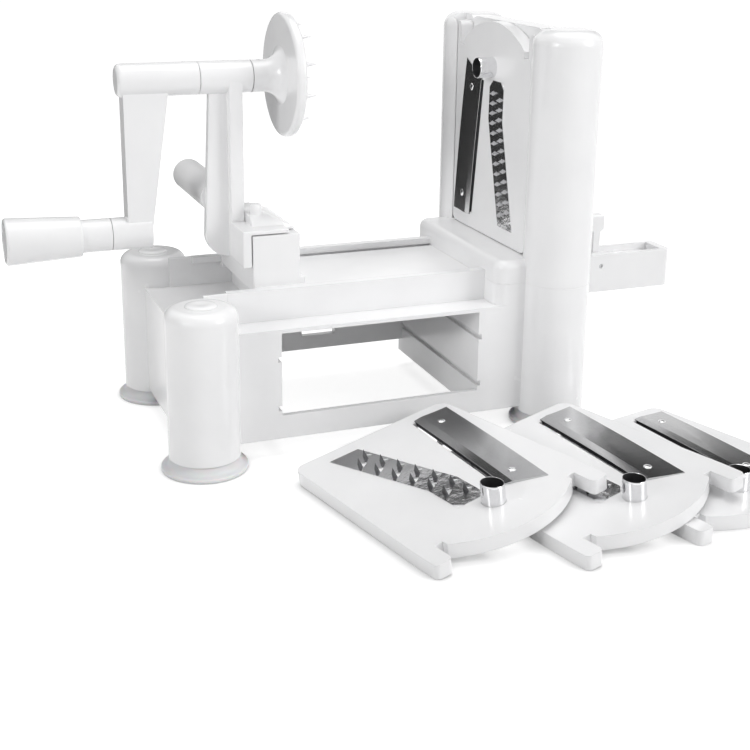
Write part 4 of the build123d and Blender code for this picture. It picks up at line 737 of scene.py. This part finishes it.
def strip_shells(count, size):
    """The sheet, flat above and below with walls round its outline and holes, and the tabs: each
    is a thin wedge from the hole's long side up to a point."""
    outline = [(strip_middle(v) + side, v) for side, v in (
        (STRIP_HALF - CORNER_CUT, STRIP_TOP), (STRIP_HALF, STRIP_TOP - CORNER_CUT),
        (STRIP_HALF, STRIP_BEND), (STRIP_HALF, STRIP_BOTTOM), (-STRIP_HALF, STRIP_BOTTOM),
        (-STRIP_HALF, STRIP_BEND), (-STRIP_HALF, STRIP_TOP - CORNER_CUT),
        (-STRIP_HALF + CORNER_CUT, STRIP_TOP))]
    pitch = (STRIP_TOP - STRIP_BOTTOM - 2 * STRIP_END) / count
    half = size * TAB_HALF
    holes, tabs = [], []
    for row, side in enumerate((-ROW_SPACING / 2, ROW_SPACING / 2)):
        for step in range(count - row):
            v = STRIP_TOP - STRIP_END - pitch * (step + 0.5 + 0.5 * row)
            u = strip_middle(v) + side
            holes.append([(u, v - half), (u, v + half), (u - size * HOLE_DEPTH, v)])
            foot = [(u, v - half), (u, v + half), (u + TAB_THICK, v + half * 0.9),
                    (u + TAB_THICK, v - half * 0.9)]
            point = (u + size * POINT_LEAN, v, STRIP_FACE + size * POINT_HEIGHT)
            tabs.append(([(*p, STRIP_FACE - 0.3) for p in foot] + [point],
                         [(3, 2, 1, 0), (0, 1, 4), (1, 2, 4), (2, 3, 4), (3, 0, 4)]))
    loops = [outline] + holes
    flat = [p for loop in loops for p in loop]
    triangles = tessellate_polygon([[(*p, 0.0) for p in loop] for loop in loops])
    n = len(flat)
    points = [(*p, STRIP_FACE) for p in flat] + [(*p, STRIP_SEAT) for p in flat]
    faces = [tuple(t) for t in triangles] + [tuple(n + i for i in t[::-1]) for t in triangles]
    start = 0
    for loop in loops:
        for i in range(len(loop)):
            a, b = start + i, start + (i + 1) % len(loop)
            faces.append((a, b, n + b, n + a))
        start += len(loop)
    return [(points, faces)] + tabs


punched_steel = drawn_steel("punched_steel", (0.84, 0.84, 0.85), (0.12, 0.24), (60, 60, 60), 0.06)
punched_relief = punched_steel.node_tree.nodes["relief"]
punched_relief.inputs["Strength"].default_value = 0.6
punched_relief.inputs["Distance"].default_value = 0.9 * MM
# The tabs are the sheet's steel painted darker, as painted shade on their sides: less on the
# mounted plate, more on the loose ones.
light_shade_tab_steel = drawn_steel("light_shade_tab_steel", (0.42, 0.42, 0.43), (0.22, 0.36), (900, 900, 900), 0.2)
deep_shade_tab_steel = drawn_steel("deep_shade_tab_steel", (0.13, 0.13, 0.135), (0.28, 0.42), (900, 900, 900), 0.2)
TAB_SHADE_STEEL = {"fine": light_shade_tab_steel, "coarse": deep_shade_tab_steel, "medium": deep_shade_tab_steel}
for kind, (count, size) in TEETH.items():
    shells = [(on_plate(kind, points), faces) for points, faces in strip_shells(count, size)]
    strip = piece("strip_" + kind, shells, punched_steel, "blade_steel", PLATE_BODY[kind],
                  "toothed_strip_" + kind, crease=20)
    strip.data.materials.append(TAB_SHADE_STEEL[kind])
    # All that stands above the sheet is tabs, and they take the darker steel: painted shade.
    for face in strip.data.polygons:
        if from_axis(kind, face.center) @ PLATE_AXES[kind][3] > STRIP_FACE + 0.05:
            face.material_index = 1

# ------------------------------------------------------------------------------ colour view
bpy.context.scene.view_settings.view_transform = "Standard"
